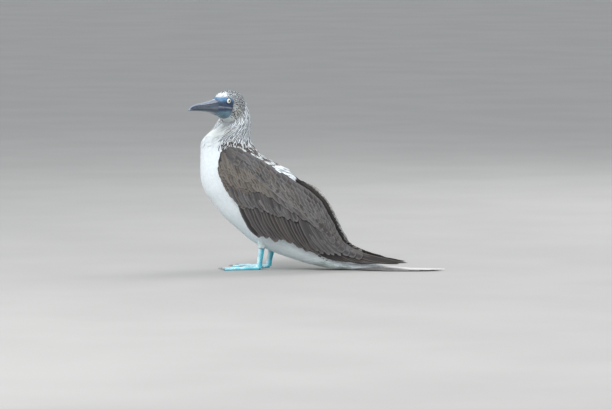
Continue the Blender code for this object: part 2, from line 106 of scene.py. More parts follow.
def blend(first: Array, second: Array | Colour, share: Array) -> Array:
    """Rows of the first mixed with the second by each row's share."""
    return first + (second - first) * np.asarray(share)[..., None]


def bump_at(value: Array, middle: float, width: float) -> Array:
    """A bell curve of height 1."""
    return np.exp(-(((value - middle) / width) ** 2))


def even(colour: Sequence[float], count: int) -> Array:
    """One colour on each of many rows."""
    return np.tile(np.asarray(colour, float), (count, 1))


def full_turn(count: int) -> Array:
    """Evenly spaced angles round a ring."""
    return np.linspace(0, 2 * math.pi, count, endpoint=False)


def capped(rows: Array) -> Array:
    """A tube's rows of values, with its first and last again for the points that close it."""
    return np.concatenate([rows, rows[:1], rows[-1:]])


def capped_map(bake: Array) -> Array:
    """A tube's places on the flat map, with those of the points that close it."""
    return np.concatenate([bake, [[0.5, 0.0], [0.5, 1.0]]])


def feather_values(
    across: Array, along: Array, tone: Array, mark: Array, chance: np.random.Generator
) -> tuple[Array, Array]:
    """What the points of many feathers of one build carry.

    Args:
        across: How far across its feather each point of one feather lies.
        along: How far along it.
        tone: One red, green and blue a feather.
        mark: How strong each one's dark middle is.
        chance: The seeded draws.

    Returns:
        Each point's lie, with its feather's chance, and its tone with its marking.
    """
    count = len(tone)
    draws = np.repeat(chance.uniform(0, 1, count)[:, None], len(along), 1)
    lie = np.stack([np.tile(across, (count, 1)), np.tile(along, (count, 1)), draws], -1)
    tones = np.repeat(np.column_stack([tone, mark])[:, None, :], len(along), 1)
    return lie.reshape(-1, 3), tones.reshape(-1, 4)


def speckle(points: Array, scale: float, seed: float = 0.0) -> Array:
    """Smooth noise from about -1 to 1 at each point.

    Args:
        points: Rows of x, y, z in metres.
        scale: Waves per metre.
        seed: A shift that gives another pattern.

    Returns:
        One value a point.
    """
    shift = Vector((seed, seed * 0.7, -seed * 1.3))
    return np.array([noise.noise(Vector(p) * scale + shift) for p in points.reshape(-1, 3)])


def spline_rows(table: Array, t: Array) -> Array:
    """Rows of a table at fractional places, on a smooth curve through its rows.

    Args:
        table: One row of sizes a station.
        t: Places along the table, counted in rows.

    Returns:
        An array shaped like t with the row's values as its last axis.
    """
    last = len(table) - 1
    i = np.clip(np.floor(t).astype(int), 0, last - 1)
    u = (t - i)[..., None]
    before = table[np.maximum(i - 1, 0)]
    start = table[i]
    end = table[i + 1]
    after = table[np.minimum(i + 2, last)]
    square = 2 * before - 5 * start + 4 * end - after
    cubic = 3 * start - before - 3 * end + after
    return start + 0.5 * u * (end - before + u * (square + u * cubic))


def signed_power(value: Array, power: Array) -> Array:
    """The value's size raised to a power, with its sign kept."""
    return np.sign(value) * np.abs(value) ** power


def turned(x: Array, y: Array, z: Array, degrees: Array) -> Array:
    """Points turned about the neck's upright axis, out of the bird's middle plane."""
    angle = np.radians(degrees)
    ahead = x - NECK_AXIS_X
    return np.stack(
        [
            NECK_AXIS_X + ahead * np.cos(angle) - y * np.sin(angle),
            MIDDLE_Y + ahead * np.sin(angle) + y * np.cos(angle),
            z,
        ],
        -1,
    )


def head_point(ahead: Array, side: Array, height: Array) -> Array:
    """Points of the turned head, from distances ahead of the neck's axis, to the left and up."""
    x = NECK_AXIS_X - np.asarray(ahead, float)
    return turned(x, -np.asarray(side, float), np.asarray(height, float) + 0 * x, HEAD_TURN)


def head_place(points: Array) -> tuple[Array, Array, Array]:
    """How far points are ahead of the neck's axis, to the head's left and above the floor."""
    angle = math.radians(HEAD_TURN)
    x = points[..., 0] - NECK_AXIS_X
    y = points[..., 1] - MIDDLE_Y
    ahead = -(x * math.cos(angle) + y * math.sin(angle))
    side = x * math.sin(angle) - y * math.cos(angle)
    return ahead, side, points[..., 2]


class Mesher:
    """Gathers points, faces and their values, and makes one mesh object of them."""

    def __init__(self) -> None:
        self.points: list[Array] = []
        self.faces: list[Array] = []
        self.bake: list[Array] = []
        self.lie: list[Array] = []
        self.tone: list[Array] = []
        self.count = 0

    def add(self, points: Array, faces: Sequence[Array], bake: Array, lie: Array, tone: Array) -> None:
        """Adds a form.

        Args:
            points: Rows of x, y, z.
            faces: Arrays of point numbers, one row a face.
            bake: The place of each point on the flat map, 0 to 1.
            lie: Each point's place across and along its feather, and the feather's chance.
            tone: Each point's red, green, blue and marking.
        """
        self.points.append(points)
        self.faces += [f + self.count for f in faces]
        self.bake.append(bake)
        self.lie.append(lie)
        self.tone.append(tone)
        self.count += len(points)

    def build(
        self, name: str, finish: bpy.types.Material, slot: str, stands_for: Sequence[str] = ()
    ) -> None:
        """Makes one object of the gathered forms, which rides on the part.

        Args:
            name: The piece's name.
            finish: Its material.
            slot: A material slot of the record; not used.
            stands_for: The part's nodes that it replaces.
        """
        mesh = bpy.data.meshes.new(name)
        points = np.concatenate(self.points)
        loops = np.concatenate([f.ravel() for f in self.faces]).astype(np.int32)
        sizes = np.concatenate([np.full(len(f), f.shape[1]) for f in self.faces])
        starts = np.concatenate([[0], np.cumsum(sizes)[:-1]]).astype(np.int32)
        mesh.vertices.add(len(points))
        mesh.vertices.foreach_set("co", points.astype(np.float32).ravel())
        mesh.loops.add(len(loops))
        mesh.loops.foreach_set("vertex_index", loops)
        mesh.polygons.add(len(sizes))
        mesh.polygons.foreach_set("loop_start", starts)
        mesh.update(calc_edges=True)
        mesh.shade_smooth()
        bake = np.concatenate(self.bake)[loops]
        face = np.repeat(np.arange(len(sizes)), sizes)
        # A face that crosses the map's seam is carried on past it, not drawn back over the map.
        widest = np.zeros(len(sizes))
        np.maximum.at(widest, face, bake[:, 0])
        bake[:, 0] += (widest[face] - bake[:, 0] > 0.5) * 1.0
        uv = mesh.uv_layers.new(name="OFBake")
        uv.data.foreach_set("uv", bake.astype(np.float32).ravel())
        lie = mesh.attributes.new("lie", "FLOAT_VECTOR", "POINT")
        lie.data.foreach_set("vector", np.concatenate(self.lie).astype(np.float32).ravel())
        tone = mesh.attributes.new("tone", "FLOAT_COLOR", "POINT")
        tone.data.foreach_set("color", np.concatenate(self.tone).astype(np.float32).ravel())
        self._crease(mesh)
        mesh.materials.append(finish)
        piece = bpy.data.objects.new(name, mesh)
        bpy.context.scene.collection.objects.link(piece)
        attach(piece, "root")
        if stands_for:
            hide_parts(*stands_for)
        log.info("%s: %d triangles", name, int((sizes - 2).sum()))

    def _crease(self, mesh: bpy.types.Mesh) -> None:
        """Keeps the outer edges of every feather sharp, so that its upper face shades on its own."""
        side, along = np.concatenate(self.lie)[:, :2].T
        edge = np.abs(side) > 0.99
        tip = (side == 0) & (along > 0.999)
        ends = np.empty(len(mesh.edges) * 2, np.int32)
        mesh.edges.foreach_get("vertices", ends)
        a, b = ends.reshape(-1, 2).T
        sharp = (edge[a] & (side[a] == side[b])) | (edge[a] & tip[b]) | (tip[a] & edge[b])
        mark = mesh.attributes.new("sharp_edge", "BOOLEAN", "EDGE")
        mark.data.foreach_set("value", sharp)


def grid_normals(grid: Array) -> Array:
    """The outward direction at each point of a closed grid of rings."""
    along = np.gradient(grid, axis=0)
    around = np.roll(grid, -1, 1) - np.roll(grid, 1, 1)
    across = np.cross(around, along)
    outward = grid - grid.mean(1, keepdims=True)
    across = across * np.sign((across * outward).sum(-1).mean())
    return across / (np.linalg.norm(across, axis=-1, keepdims=True) + 1e-12)


def grid_faces(rows: int, columns: int, closed: bool = False) -> Array:
    """Four-sided faces of a grid of points, row by row, joined round if closed."""
    strips = columns if closed else columns - 1
    i, k = np.meshgrid(np.arange(rows - 1), np.arange(strips), indexing="ij")
    a = i * columns + k
    b = i * columns + (k + 1) % columns
    return np.stack([a, b, b + columns, a + columns], -1).reshape(-1, 4)


def tube(rings: Array) -> tuple[Array, list[Array]]:
    """Points and faces of a closed tube.

    Args:
        rings: Rings of points, as an array of ring, point and coordinate.

    Returns:
        The points and the face arrays, its ends closed by fans.
    """
    count, sides = rings.shape[:2]
    middles = [rings[0].mean(0)[None], rings[-1].mean(0)[None]]
    points = np.concatenate([rings.reshape(-1, 3), *middles])
    k = np.arange(sides)
    n = (k + 1) % sides
    base = (count - 1) * sides
    first = np.stack([n, k, np.full(sides, count * sides)], -1)
    last = np.stack([base + k, base + n, np.full(sides, count * sides + 1)], -1)
    return points, [grid_faces(count, sides, True), first, last]


def strand_faces(count: int, rings: int, ring: int) -> list[Array]:
    """Faces of many like closed strands, each some rings of points and then one tip point."""
    size = rings * ring + 1
    body = grid_faces(rings, ring, True)
    k = np.arange(ring)
    last = (rings - 1) * ring
    tip = np.stack([last + k, last + (k + 1) % ring, np.full(ring, size - 1)], -1)
    root = np.stack([np.zeros(ring - 2, int), k[2:], k[1:-1]], -1)
    shift = (np.arange(count) * size)[:, None, None]
    return [(part[None] + shift).reshape(-1, part.shape[1]) for part in (body, tip, root)]


class NodeSheet:
    """A node tree that is filled by short calls."""

    def __init__(self, tree: bpy.types.NodeTree) -> None:
        self.tree = tree

    def put(self, socket: bpy.types.NodeSocket, value: Any) -> None:
        """Links a socket's output to the socket, or sets a plain value."""
        if isinstance(value, bpy.types.NodeSocket):
            self.tree.links.new(value, socket)
        else:
            socket.default_value = value

    def add(self, kind: str, inputs: dict[Any, Any] | None = None, **settings: Any) -> bpy.types.Node:
        """Adds a node.

        Args:
            kind: The node's type.
            inputs: Values or outputs for its inputs, by name or number.
            **settings: Its own settings.

        Returns:
            The new node.
        """
        node = self.tree.nodes.new(kind)
        for name, value in settings.items():
            setattr(node, name, value)
        for name, value in (inputs or {}).items():
            self.put(node.inputs[name], value)
        return node

    def math(
        self, operation: str, first: Any, second: Any = 0.0, clamp: bool = False
    ) -> bpy.types.NodeSocket:
        """The result of one sum."""
        terms = {0: first, 1: second}
        return self.add("ShaderNodeMath", terms, operation=operation, use_clamp=clamp).outputs[0]

    def mix(self, share: Any, first: Any, second: Any, how: str = "MIX") -> bpy.types.NodeSocket:
        """Two colours mixed."""
        node = self.add("ShaderNodeMix", data_type="RGBA", blend_type=how)
        for place, value in ((0, share), (6, first), (7, second)):
            self.put(node.inputs[place], value)
        return node.outputs[2]

    def ease(
        self, value: Any, low: float, high: float, start: float = 0.0, end: float = 1.0
    ) -> bpy.types.NodeSocket:
        """Eases from start to end as the value goes from low to high."""
        names = {"Value": value, "From Min": low, "From Max": high, "To Min": start, "To Max": end}
        return self.add("ShaderNodeMapRange", names, interpolation_type="SMOOTHSTEP").outputs["Result"]

    def noise(self, vector: Any, scale: Any, detail: float = 2.0) -> bpy.types.NodeSocket:
        """Smooth noise over a vector."""
        names = {"Vector": vector, "Scale": scale, "Detail": detail}
        return self.add("ShaderNodeTexNoise", names).outputs["Fac"]

    def stretched(self, vector: Any, scale: Sequence[float]) -> bpy.types.NodeSocket:
        """A vector with each part scaled."""
        node = self.add("ShaderNodeVectorMath", operation="MULTIPLY")
        self.put(node.inputs[0], vector)
        self.put(node.inputs[1], tuple(scale))
        return node.outputs[0]

    def carried(self, name: str) -> Any:
        """The outputs of a value that every point of the mesh carries."""
        return self.add("ShaderNodeAttribute", attribute_name=name).outputs

    def shaded(self, colour: Any, shade: Any) -> bpy.types.NodeSocket:
        """A colour made lighter or darker by a shade around 1."""
        level = self.add("ShaderNodeCombineXYZ", {0: shade, 1: shade, 2: shade}).outputs[0]
        return self.mix(1.0, colour, level, "MULTIPLY")


class Effect:
    """Shader groups that several finishes share, each built once."""

    made: dict[str, bpy.types.NodeTree] = {}
    looks = (("Colour", "NodeSocketColor"), ("Height", "NodeSocketFloat"))

    @classmethod
    def group(
        cls,
        name: str,
        inputs: Sequence[tuple[str, str, Any]],
        outputs: Sequence[tuple[str, str]],
        fill: Callable[[NodeSheet, bpy.types.Node], dict[str, Any]],
    ) -> bpy.types.NodeTree:
        """A shader group by name, built the first time it is asked for.

        Args:
            name: The group's name.
            inputs: Name, socket type and default of each input.
            outputs: Name and socket type of each output.
            fill: Builds the inside and returns what each output gives.

        Returns:
            The group's node tree.
        """
        if name in cls.made:
            return cls.made[name]
        tree = bpy.data.node_groups.new(name, "ShaderNodeTree")
        for label, kind, value in inputs:
            socket = tree.interface.new_socket(label, in_out="INPUT", socket_type=kind)
            if value is not None:
                socket.default_value = value
        for label, kind in outputs:
            tree.interface.new_socket(label, in_out="OUTPUT", socket_type=kind)
        sheet = NodeSheet(tree)
        start = sheet.add("NodeGroupInput")
        results = fill(sheet, start)
        sheet.add("NodeGroupOutput", results)
        cls.made[name] = tree
        return tree

    @classmethod
    def barbs(cls) -> bpy.types.NodeTree:
        """A feather's barbs, shaft, dark middle and pale rim, from each point's place on it."""
        inputs = [
            ("Lie", "NodeSocketVector", None),
            ("Tone", "NodeSocketColor", (0.5, 0.5, 0.5, 1)),
            ("Marking", "NodeSocketFloat", 0.0),
            ("Dark", "NodeSocketColor", (0.1, 0.1, 0.1, 1)),
            ("Rim", "NodeSocketColor", (0.8, 0.8, 0.8, 1)),
            ("Rim Amount", "NodeSocketFloat", 0.0),
            ("Shaft", "NodeSocketColor", (0.8, 0.8, 0.8, 1)),
            ("Shaft Amount", "NodeSocketFloat", 0.0),
            ("Dark Width", "NodeSocketFloat", 0.6),
            ("Barbs", "NodeSocketFloat", 30.0),
            ("Contrast", "NodeSocketFloat", 0.2),
        ]
        return cls.group("feather_barbs", inputs, cls.looks, cls._barbs)

    @staticmethod
    def _barbs(sheet: NodeSheet, start: bpy.types.Node) -> dict[str, Any]:
        """The inside of the barbs group."""
        given = start.outputs
        parts = sheet.add("ShaderNodeSeparateXYZ", {0: given["Lie"]}).outputs
        aside = sheet.math("ABSOLUTE", parts[0])
        slant = sheet.math("SUBTRACT", parts[1], sheet.math("MULTIPLY", aside, 0.14))
        place = sheet.stretched(given["Lie"], (1.2, 7.0, 31.0))
        fray = sheet.noise(place, 2.3, 3.0)
        wander = sheet.math("MULTIPLY", fray, 2.2)
        phase = sheet.math("ADD", sheet.math("MULTIPLY", slant, given["Barbs"]), wander)
        lines = sheet.math("SINE", sheet.math("MULTIPLY", phase, 6.2832))
        lines = sheet.math("MULTIPLY", sheet.math("ADD", lines, 1.0), 0.5)
        strands = sheet.noise(sheet.stretched(given["Lie"], (6.0, 1.1, 31.0)), 1.6, 2.0)
        soft = sheet.math("ADD", sheet.math("MULTIPLY", strands, 0.55), sheet.math("MULTIPLY", fray, 0.25))
        shade = sheet.math("ADD", sheet.math("MULTIPLY", lines, 0.2), soft)
        shade = sheet.math("MULTIPLY", sheet.math("SUBTRACT", shade, 0.5), given["Contrast"])
        shade = sheet.math("ADD", shade, 1.0)
        colour = sheet.shaded(given["Tone"], shade)
        inside = sheet.math("MULTIPLY", sheet.math("SUBTRACT", given["Dark Width"], aside), 3.5, True)
        middle = sheet.math("MULTIPLY", inside, sheet.ease(parts[1], 0.86, 1.0, 1, 0))
        colour = sheet.mix(sheet.math("MULTIPLY", middle, given["Marking"], True), colour, given["Dark"])
        edge = sheet.math("MAXIMUM", sheet.ease(aside, 0.62, 1.0), sheet.ease(parts[1], 0.88, 1.0))
        colour = sheet.mix(sheet.math("MULTIPLY", edge, given["Rim Amount"], True), colour, given["Rim"])
        narrow = sheet.ease(aside, 0.02, 0.12, 1, 0)
        quill = sheet.math("MULTIPLY", narrow, sheet.ease(parts[1], 0.8, 0.97, 1, 0))
        quill_share = sheet.math("MULTIPLY", quill, given["Shaft Amount"], True)
        colour = sheet.mix(quill_share, colour, given["Shaft"])
        height = sheet.math("ADD", sheet.math("MULTIPLY", lines, 0.5), quill)
        return {"Colour": colour, "Height": height}

    @classmethod
    def grain(cls) -> bpy.types.NodeTree:
        """Small raised cells parted by creases that are painted darker as shade, with soft patches of
        lighter and darker tone.
        """
        inputs = [
            ("Place", "NodeSocketVector", None),
            ("Tone", "NodeSocketColor", (0.5, 0.5, 0.5, 1)),
            ("Crease", "NodeSocketColor", (0.1, 0.1, 0.1, 1)),
            ("Crease Amount", "NodeSocketFloat", 0.5),
            ("Cells", "NodeSocketFloat", 500.0),
            ("Patches", "NodeSocketFloat", 60.0),
        ]
        return cls.group("skin_grain", inputs, cls.looks, cls._grain)

    @staticmethod
    def _grain(sheet: NodeSheet, start: bpy.types.Node) -> dict[str, Any]:
        """The inside of the grain group."""
        given = start.outputs
        spots = {"Vector": given["Place"], "Scale": given["Cells"]}
        cells = sheet.add("ShaderNodeTexVoronoi", spots, feature="DISTANCE_TO_EDGE")
        top = sheet.ease(cells.outputs["Distance"], 0.0, 0.16)
        patch = sheet.noise(given["Place"], given["Patches"], 3.0)
        shade = sheet.ease(patch, 0.25, 0.75, 0.78, 1.18)
        colour = sheet.shaded(given["Tone"], shade)
        # Painted shade: each crease between the cells is darkened towards the crease colour.
        crease = sheet.math("MULTIPLY", sheet.math("SUBTRACT", 1.0, top), given["Crease Amount"], True)
        colour = sheet.mix(crease, colour, given["Crease"])
        return {"Colour": colour, "Height": sheet.math("ADD", top, sheet.math("MULTIPLY", patch, 0.4))}


def dressed(
    name: str, roughness: float, specular: float, sheen: float = 0.0, coat: float = 0.0
) -> tuple[bpy.types.Material, NodeSheet]:
    """A new material and its node sheet, with the values that are the same all over.

    Args:
        name: The material's name.
        roughness: The shader's roughness.
        specular: Its specular level.
        sheen: Its sheen weight.
        coat: Its coat weight.

    Returns:
        The material and the sheet of its node tree.
    """
    made = bpy.data.materials.new(name)
    made.use_nodes = True
    shader = made.node_tree.nodes["Principled BSDF"]
    shader.inputs["Roughness"].default_value = roughness
    shader.inputs["Specular IOR Level"].default_value = specular
    shader.inputs["Sheen Weight"].default_value = sheen
    shader.inputs["Sheen Roughness"].default_value = 0.5
    shader.inputs["Coat Weight"].default_value = coat
    shader.inputs["Coat Roughness"].default_value = 0.06
    return made, NodeSheet(made.node_tree)


def finish_with(sheet: NodeSheet, colour: Any, height: Any, strength: float, depth: float) -> None:
    """Leads a colour and a height into the material's shader.

    Args:
        sheet: The material's node sheet.
        colour: The output that gives the colour.
        height: The output that gives the height.
        strength: The bump's strength.
        depth: How far a height of 1 stands out, in metres.
    """
    shader = sheet.tree.nodes["Principled BSDF"]
    sheet.put(shader.inputs["Base Color"], colour)
    bump = sheet.add("ShaderNodeBump", {"Height": height, "Strength": strength, "Distance": depth})
    sheet.put(shader.inputs["Normal"], bump.outputs[0])


@dataclass(frozen=True)
class PlumageFinish:
    """Feathers: their tone and marking come with each feather, the rest is the same for all."""

    name: str
    dark: Colour
    rim: Colour = (0.7, 0.7, 0.7)
    rim_amount: float = 0.0
    shaft: Colour = (0.7, 0.7, 0.7)
    shaft_amount: float = 0.0
    barbs: float = 14.0
    contrast: float = 0.3
    roughness: float = 0.78
    sheen: float = 0.15
    dark_width: float = 0.55
    relief: float = 0.3
    barb_depth: float = 0.3 * MM

    def make(self) -> bpy.types.Material:
        """The finish as a material."""
        made, sheet = dressed(self.name, self.roughness, 0.25, self.sheen)
        tone = sheet.carried("tone")
        values = {
            "Lie": sheet.carried("lie")["Vector"],
            "Tone": tone["Color"],
            "Marking": tone["Alpha"],
            "Dark": (*self.dark, 1),
            "Rim": (*self.rim, 1),
            "Rim Amount": self.rim_amount,
            "Shaft": (*self.shaft, 1),
            "Shaft Amount": self.shaft_amount,
            "Dark Width": self.dark_width,
            "Barbs": self.barbs,
            "Contrast": self.contrast,
        }
        group = sheet.add("ShaderNodeGroup", values, node_tree=Effect.barbs()).outputs
        finish_with(sheet, group["Colour"], group["Height"], self.relief, self.barb_depth)
        return made


@dataclass(frozen=True)
class SkinFinish:
    """Bare or covered skin with fine creased cells, its creases painted darker as shade, its tone given at
    each point.
    """

    name: str
    # The colour that the creases are darkened towards: painted shade.
    crease: Colour
    crease_shade_amount: float
    cells: float
    roughness: float
    strength: float = 0.5
    depth: float = 0.0003
    coat: float = 0.0

    def make(self) -> bpy.types.Material:
        """The finish as a material."""
        made, sheet = dressed(self.name, self.roughness, 0.4, coat=self.coat)
        values = {
            "Place": sheet.add("ShaderNodeTexCoord").outputs["Object"],
            "Tone": sheet.carried("tone")["Color"],
            "Crease": (*self.crease, 1),
            "Crease Amount": self.crease_shade_amount,
            "Cells": self.cells,
        }
        group = sheet.add("ShaderNodeGroup", values, node_tree=Effect.grain()).outputs
        finish_with(sheet, group["Colour"], group["Height"], self.strength, self.depth)
        return made


@dataclass(frozen=True)
class HornFinish:
    """Horn with fine lengthwise grain, its tone given at each point."""

    name: str
    roughness: float = 0.38
    coat: float = 0.15
    grain: float = 0.22

    def make(self) -> bpy.types.Material:
        """The finish as a material."""
        made, sheet = dressed(self.name, self.roughness, 0.45, coat=self.coat)
        lie = sheet.carried("lie")["Vector"]
        strands = sheet.noise(sheet.stretched(lie, (14.0, 2.2, 1.0)), 2.6, 4.0)
        plates = sheet.noise(sheet.stretched(lie, (1.6, 9.0, 1.0)), 1.7, 2.0)
        plates = sheet.math("MULTIPLY", plates, 0.4)
        mixed = sheet.math("ADD", sheet.math("MULTIPLY", strands, 0.6), plates)
        shade = sheet.ease(mixed, 0.3, 0.7, 1 - self.grain, 1 + self.grain)
        colour = sheet.shaded(sheet.carried("tone")["Color"], shade)
        finish_with(sheet, colour, mixed, 0.5, 0.0006)
        return made


@dataclass(frozen=True)
class EyeFinish:
    """The wet eyeball: fine rays in the iris under a clear gloss."""

    name: str = "eye_wet"

    def make(self) -> bpy.types.Material:
        """The finish as a material."""
        made, sheet = dressed(self.name, 0.25, 0.5, coat=1.0)
        lie = sheet.carried("lie")["Vector"]
        rays = sheet.noise(sheet.stretched(lie, (9.0, 1.5, 1.0)), 3.0, 3.0)
        shade = sheet.ease(rays, 0.3, 0.7, 0.82, 1.1)
        colour = sheet.shaded(sheet.carried("tone")["Color"], shade)
        finish_with(sheet, colour, rays, 0.1, 0.0001)
        return made


class Form:
    """A rounded form given by a place along it and an angle round it."""

    probe = 0.02
    tries = 5

    def points(self, t: Array, angle: Array, swell: Array | float = 0.0) -> Array:
        """Points of the form, swollen outward by a length."""
        raise NotImplementedError

    def measure(self, t: Array, angle: Array) -> tuple[Array, Array]:
        """How far a point moves for a unit step along and for a unit step round."""
        along = self.points(t + self.probe, angle) - self.points(t - self.probe, angle)
        around = self.points(t, angle + self.probe) - self.points(t, angle - self.probe)
        span = 2 * self.probe
        return np.linalg.norm(along, axis=-1) / span, np.linalg.norm(around, axis=-1) / span

    def travel(self, t: Array, angle: Array, length: Array) -> Array:
        """The step along the form that moves each point by its length."""
        start = self.points(t, angle)
        step = length / np.maximum(self.measure(t, angle)[0], 1e-3)
        for _ in range(self.tries):
            moved = np.linalg.norm(self.points(t + step, angle) - start, axis=-1)
            step = step * np.clip(length / np.maximum(moved, 1e-5), 0.4, 1.6)
        return step


@dataclass
class Trunk(Form):
    """Head, neck and body as one form, from the face to the root of the tail.

    Each row is one section: its belly or front point (x, z), its back or crown point (x, z)
    and half its width in millimetres, its turn in degrees and how round it is.
    """

    rows: tuple[tuple[float, ...], ...] = (
        (-212, 293, -217, 328, 14, 63, 0.8),
        (-204, 288.5, -210, 334.5, 17.5, 63, 0.84),
        (-194, 285.5, -199, 339, 20.5, 63, 0.9),
        (-188, 283, -184, 341, 22.5, 63, 0.95),
        (-186, 280.5, -167, 340, 24, 63, 1),
        (-190.5, 277.5, -152, 331.5, 25, 63, 1),
        (-196, 273.5, -141, 315, 27, 62, 1),
        (-206, 267, -136, 295, 31.5, 53, 1),
        (-218.5, 257.5, -134.5, 277, 35, 36, 1),
        (-227.5, 247, -135.5, 262, 37, 18, 1),
        (-231, 236, -136, 249, 38.5, 6, 1),
        (-231.5, 224.5, -132, 237, 40.5, 0, 1),
        (-232, 210, -121, 223, 44.5, 0, 1),
        (-232.5, 191, -101, 209, 50, 0, 1),
        (-231, 169, -80, 194, 54, 0, 1),
        (-224, 148, -61, 178.5, 57, 0, 1),
        (-211, 129, -42, 160, 58, 0, 1),
        (-189.5, 102, -25, 138, 58, 0, 1),
        (-162.5, 77.5, -9, 113, 56, 0, 1),
        (-132, 53, 3, 91, 52, 0, 1),
        (-104, 38, 14, 69, 47, 0, 1),
        (-70.5, 25, 24, 50, 40, 0, 1),
        (-34, 14, 34, 35, 33, 0, 1),
        (-1.5, 6.5, 44, 23, 27, 0, 1),
        (24, 2.5, 56, 15.5, 22, 0, 1),
        (54, 0.6, 76, 14.5, 18, 0, 1),
        (84, 0.6, 98, 11.5, 14, 0, 1),
        (112, 0.6, 120, 7.5, 8, 0, 1),
    )
    face_end: float = 7.0
    fold_end: float = 6.0
    neck_start: float = 5.0
    body_start: float = 11.0
    end: float = 27.0

    def points(self, t: Array, angle: Array, swell: Array | float = 0.0) -> Array:
        """Points at row t and at an angle from the back or crown round to the right."""
        t = np.clip(t, 0, self.end)
        row = spline_rows(np.asarray(self.rows, float), t)
        front = row[..., 0:2] * MM
        back = row[..., 2:4] * MM
        middle = (front + back) / 2
        reach = (back - front) / 2
        grown = 1 + swell / np.linalg.norm(reach, axis=-1)
        swing = signed_power(np.cos(angle), row[..., 6]) * grown
        x = middle[..., 0] + reach[..., 0] * swing
        z = middle[..., 1] + reach[..., 1] * swing
        y = (row[..., 4] * MM + swell) * signed_power(np.sin(angle), row[..., 6])
        return turned(x, y, z, row[..., 5])


@dataclass
class Thigh(Form):
    """The feathered thigh, from the hip down to where the bare shank starts."""

    side: Side
    knee: tuple[float, float]
    spacing: float = 27 * MM
    along: tuple[float, ...] = (16 * MM, 12.5 * MM, 9 * MM, 7 * MM)
    across: tuple[float, ...] = (13 * MM, 10.5 * MM, 7.6 * MM, 5.6 * MM)
    drop: tuple[tuple[float, float], ...] = ((8, 34), (4.5, 18), (1.5, 6), (0, -1.5))
    end: float = 3.0

    def points(self, t: Array, angle: Array, swell: Array | float = 0.0) -> Array:
        """Points at row t from the hip and at an angle from the rear."""
        rows = np.column_stack([np.asarray(self.drop) * MM, self.along, self.across])
        row = spline_rows(rows, np.clip(t, 0, self.end))
        x = self.knee[0] + row[..., 0] + (row[..., 2] + swell) * np.cos(angle)
        y = MIDDLE_Y - self.side.value * self.spacing + (row[..., 3] + swell) * np.sin(angle)
        return np.stack([x, y, self.knee[1] + row[..., 1] + 0 * x], -1)


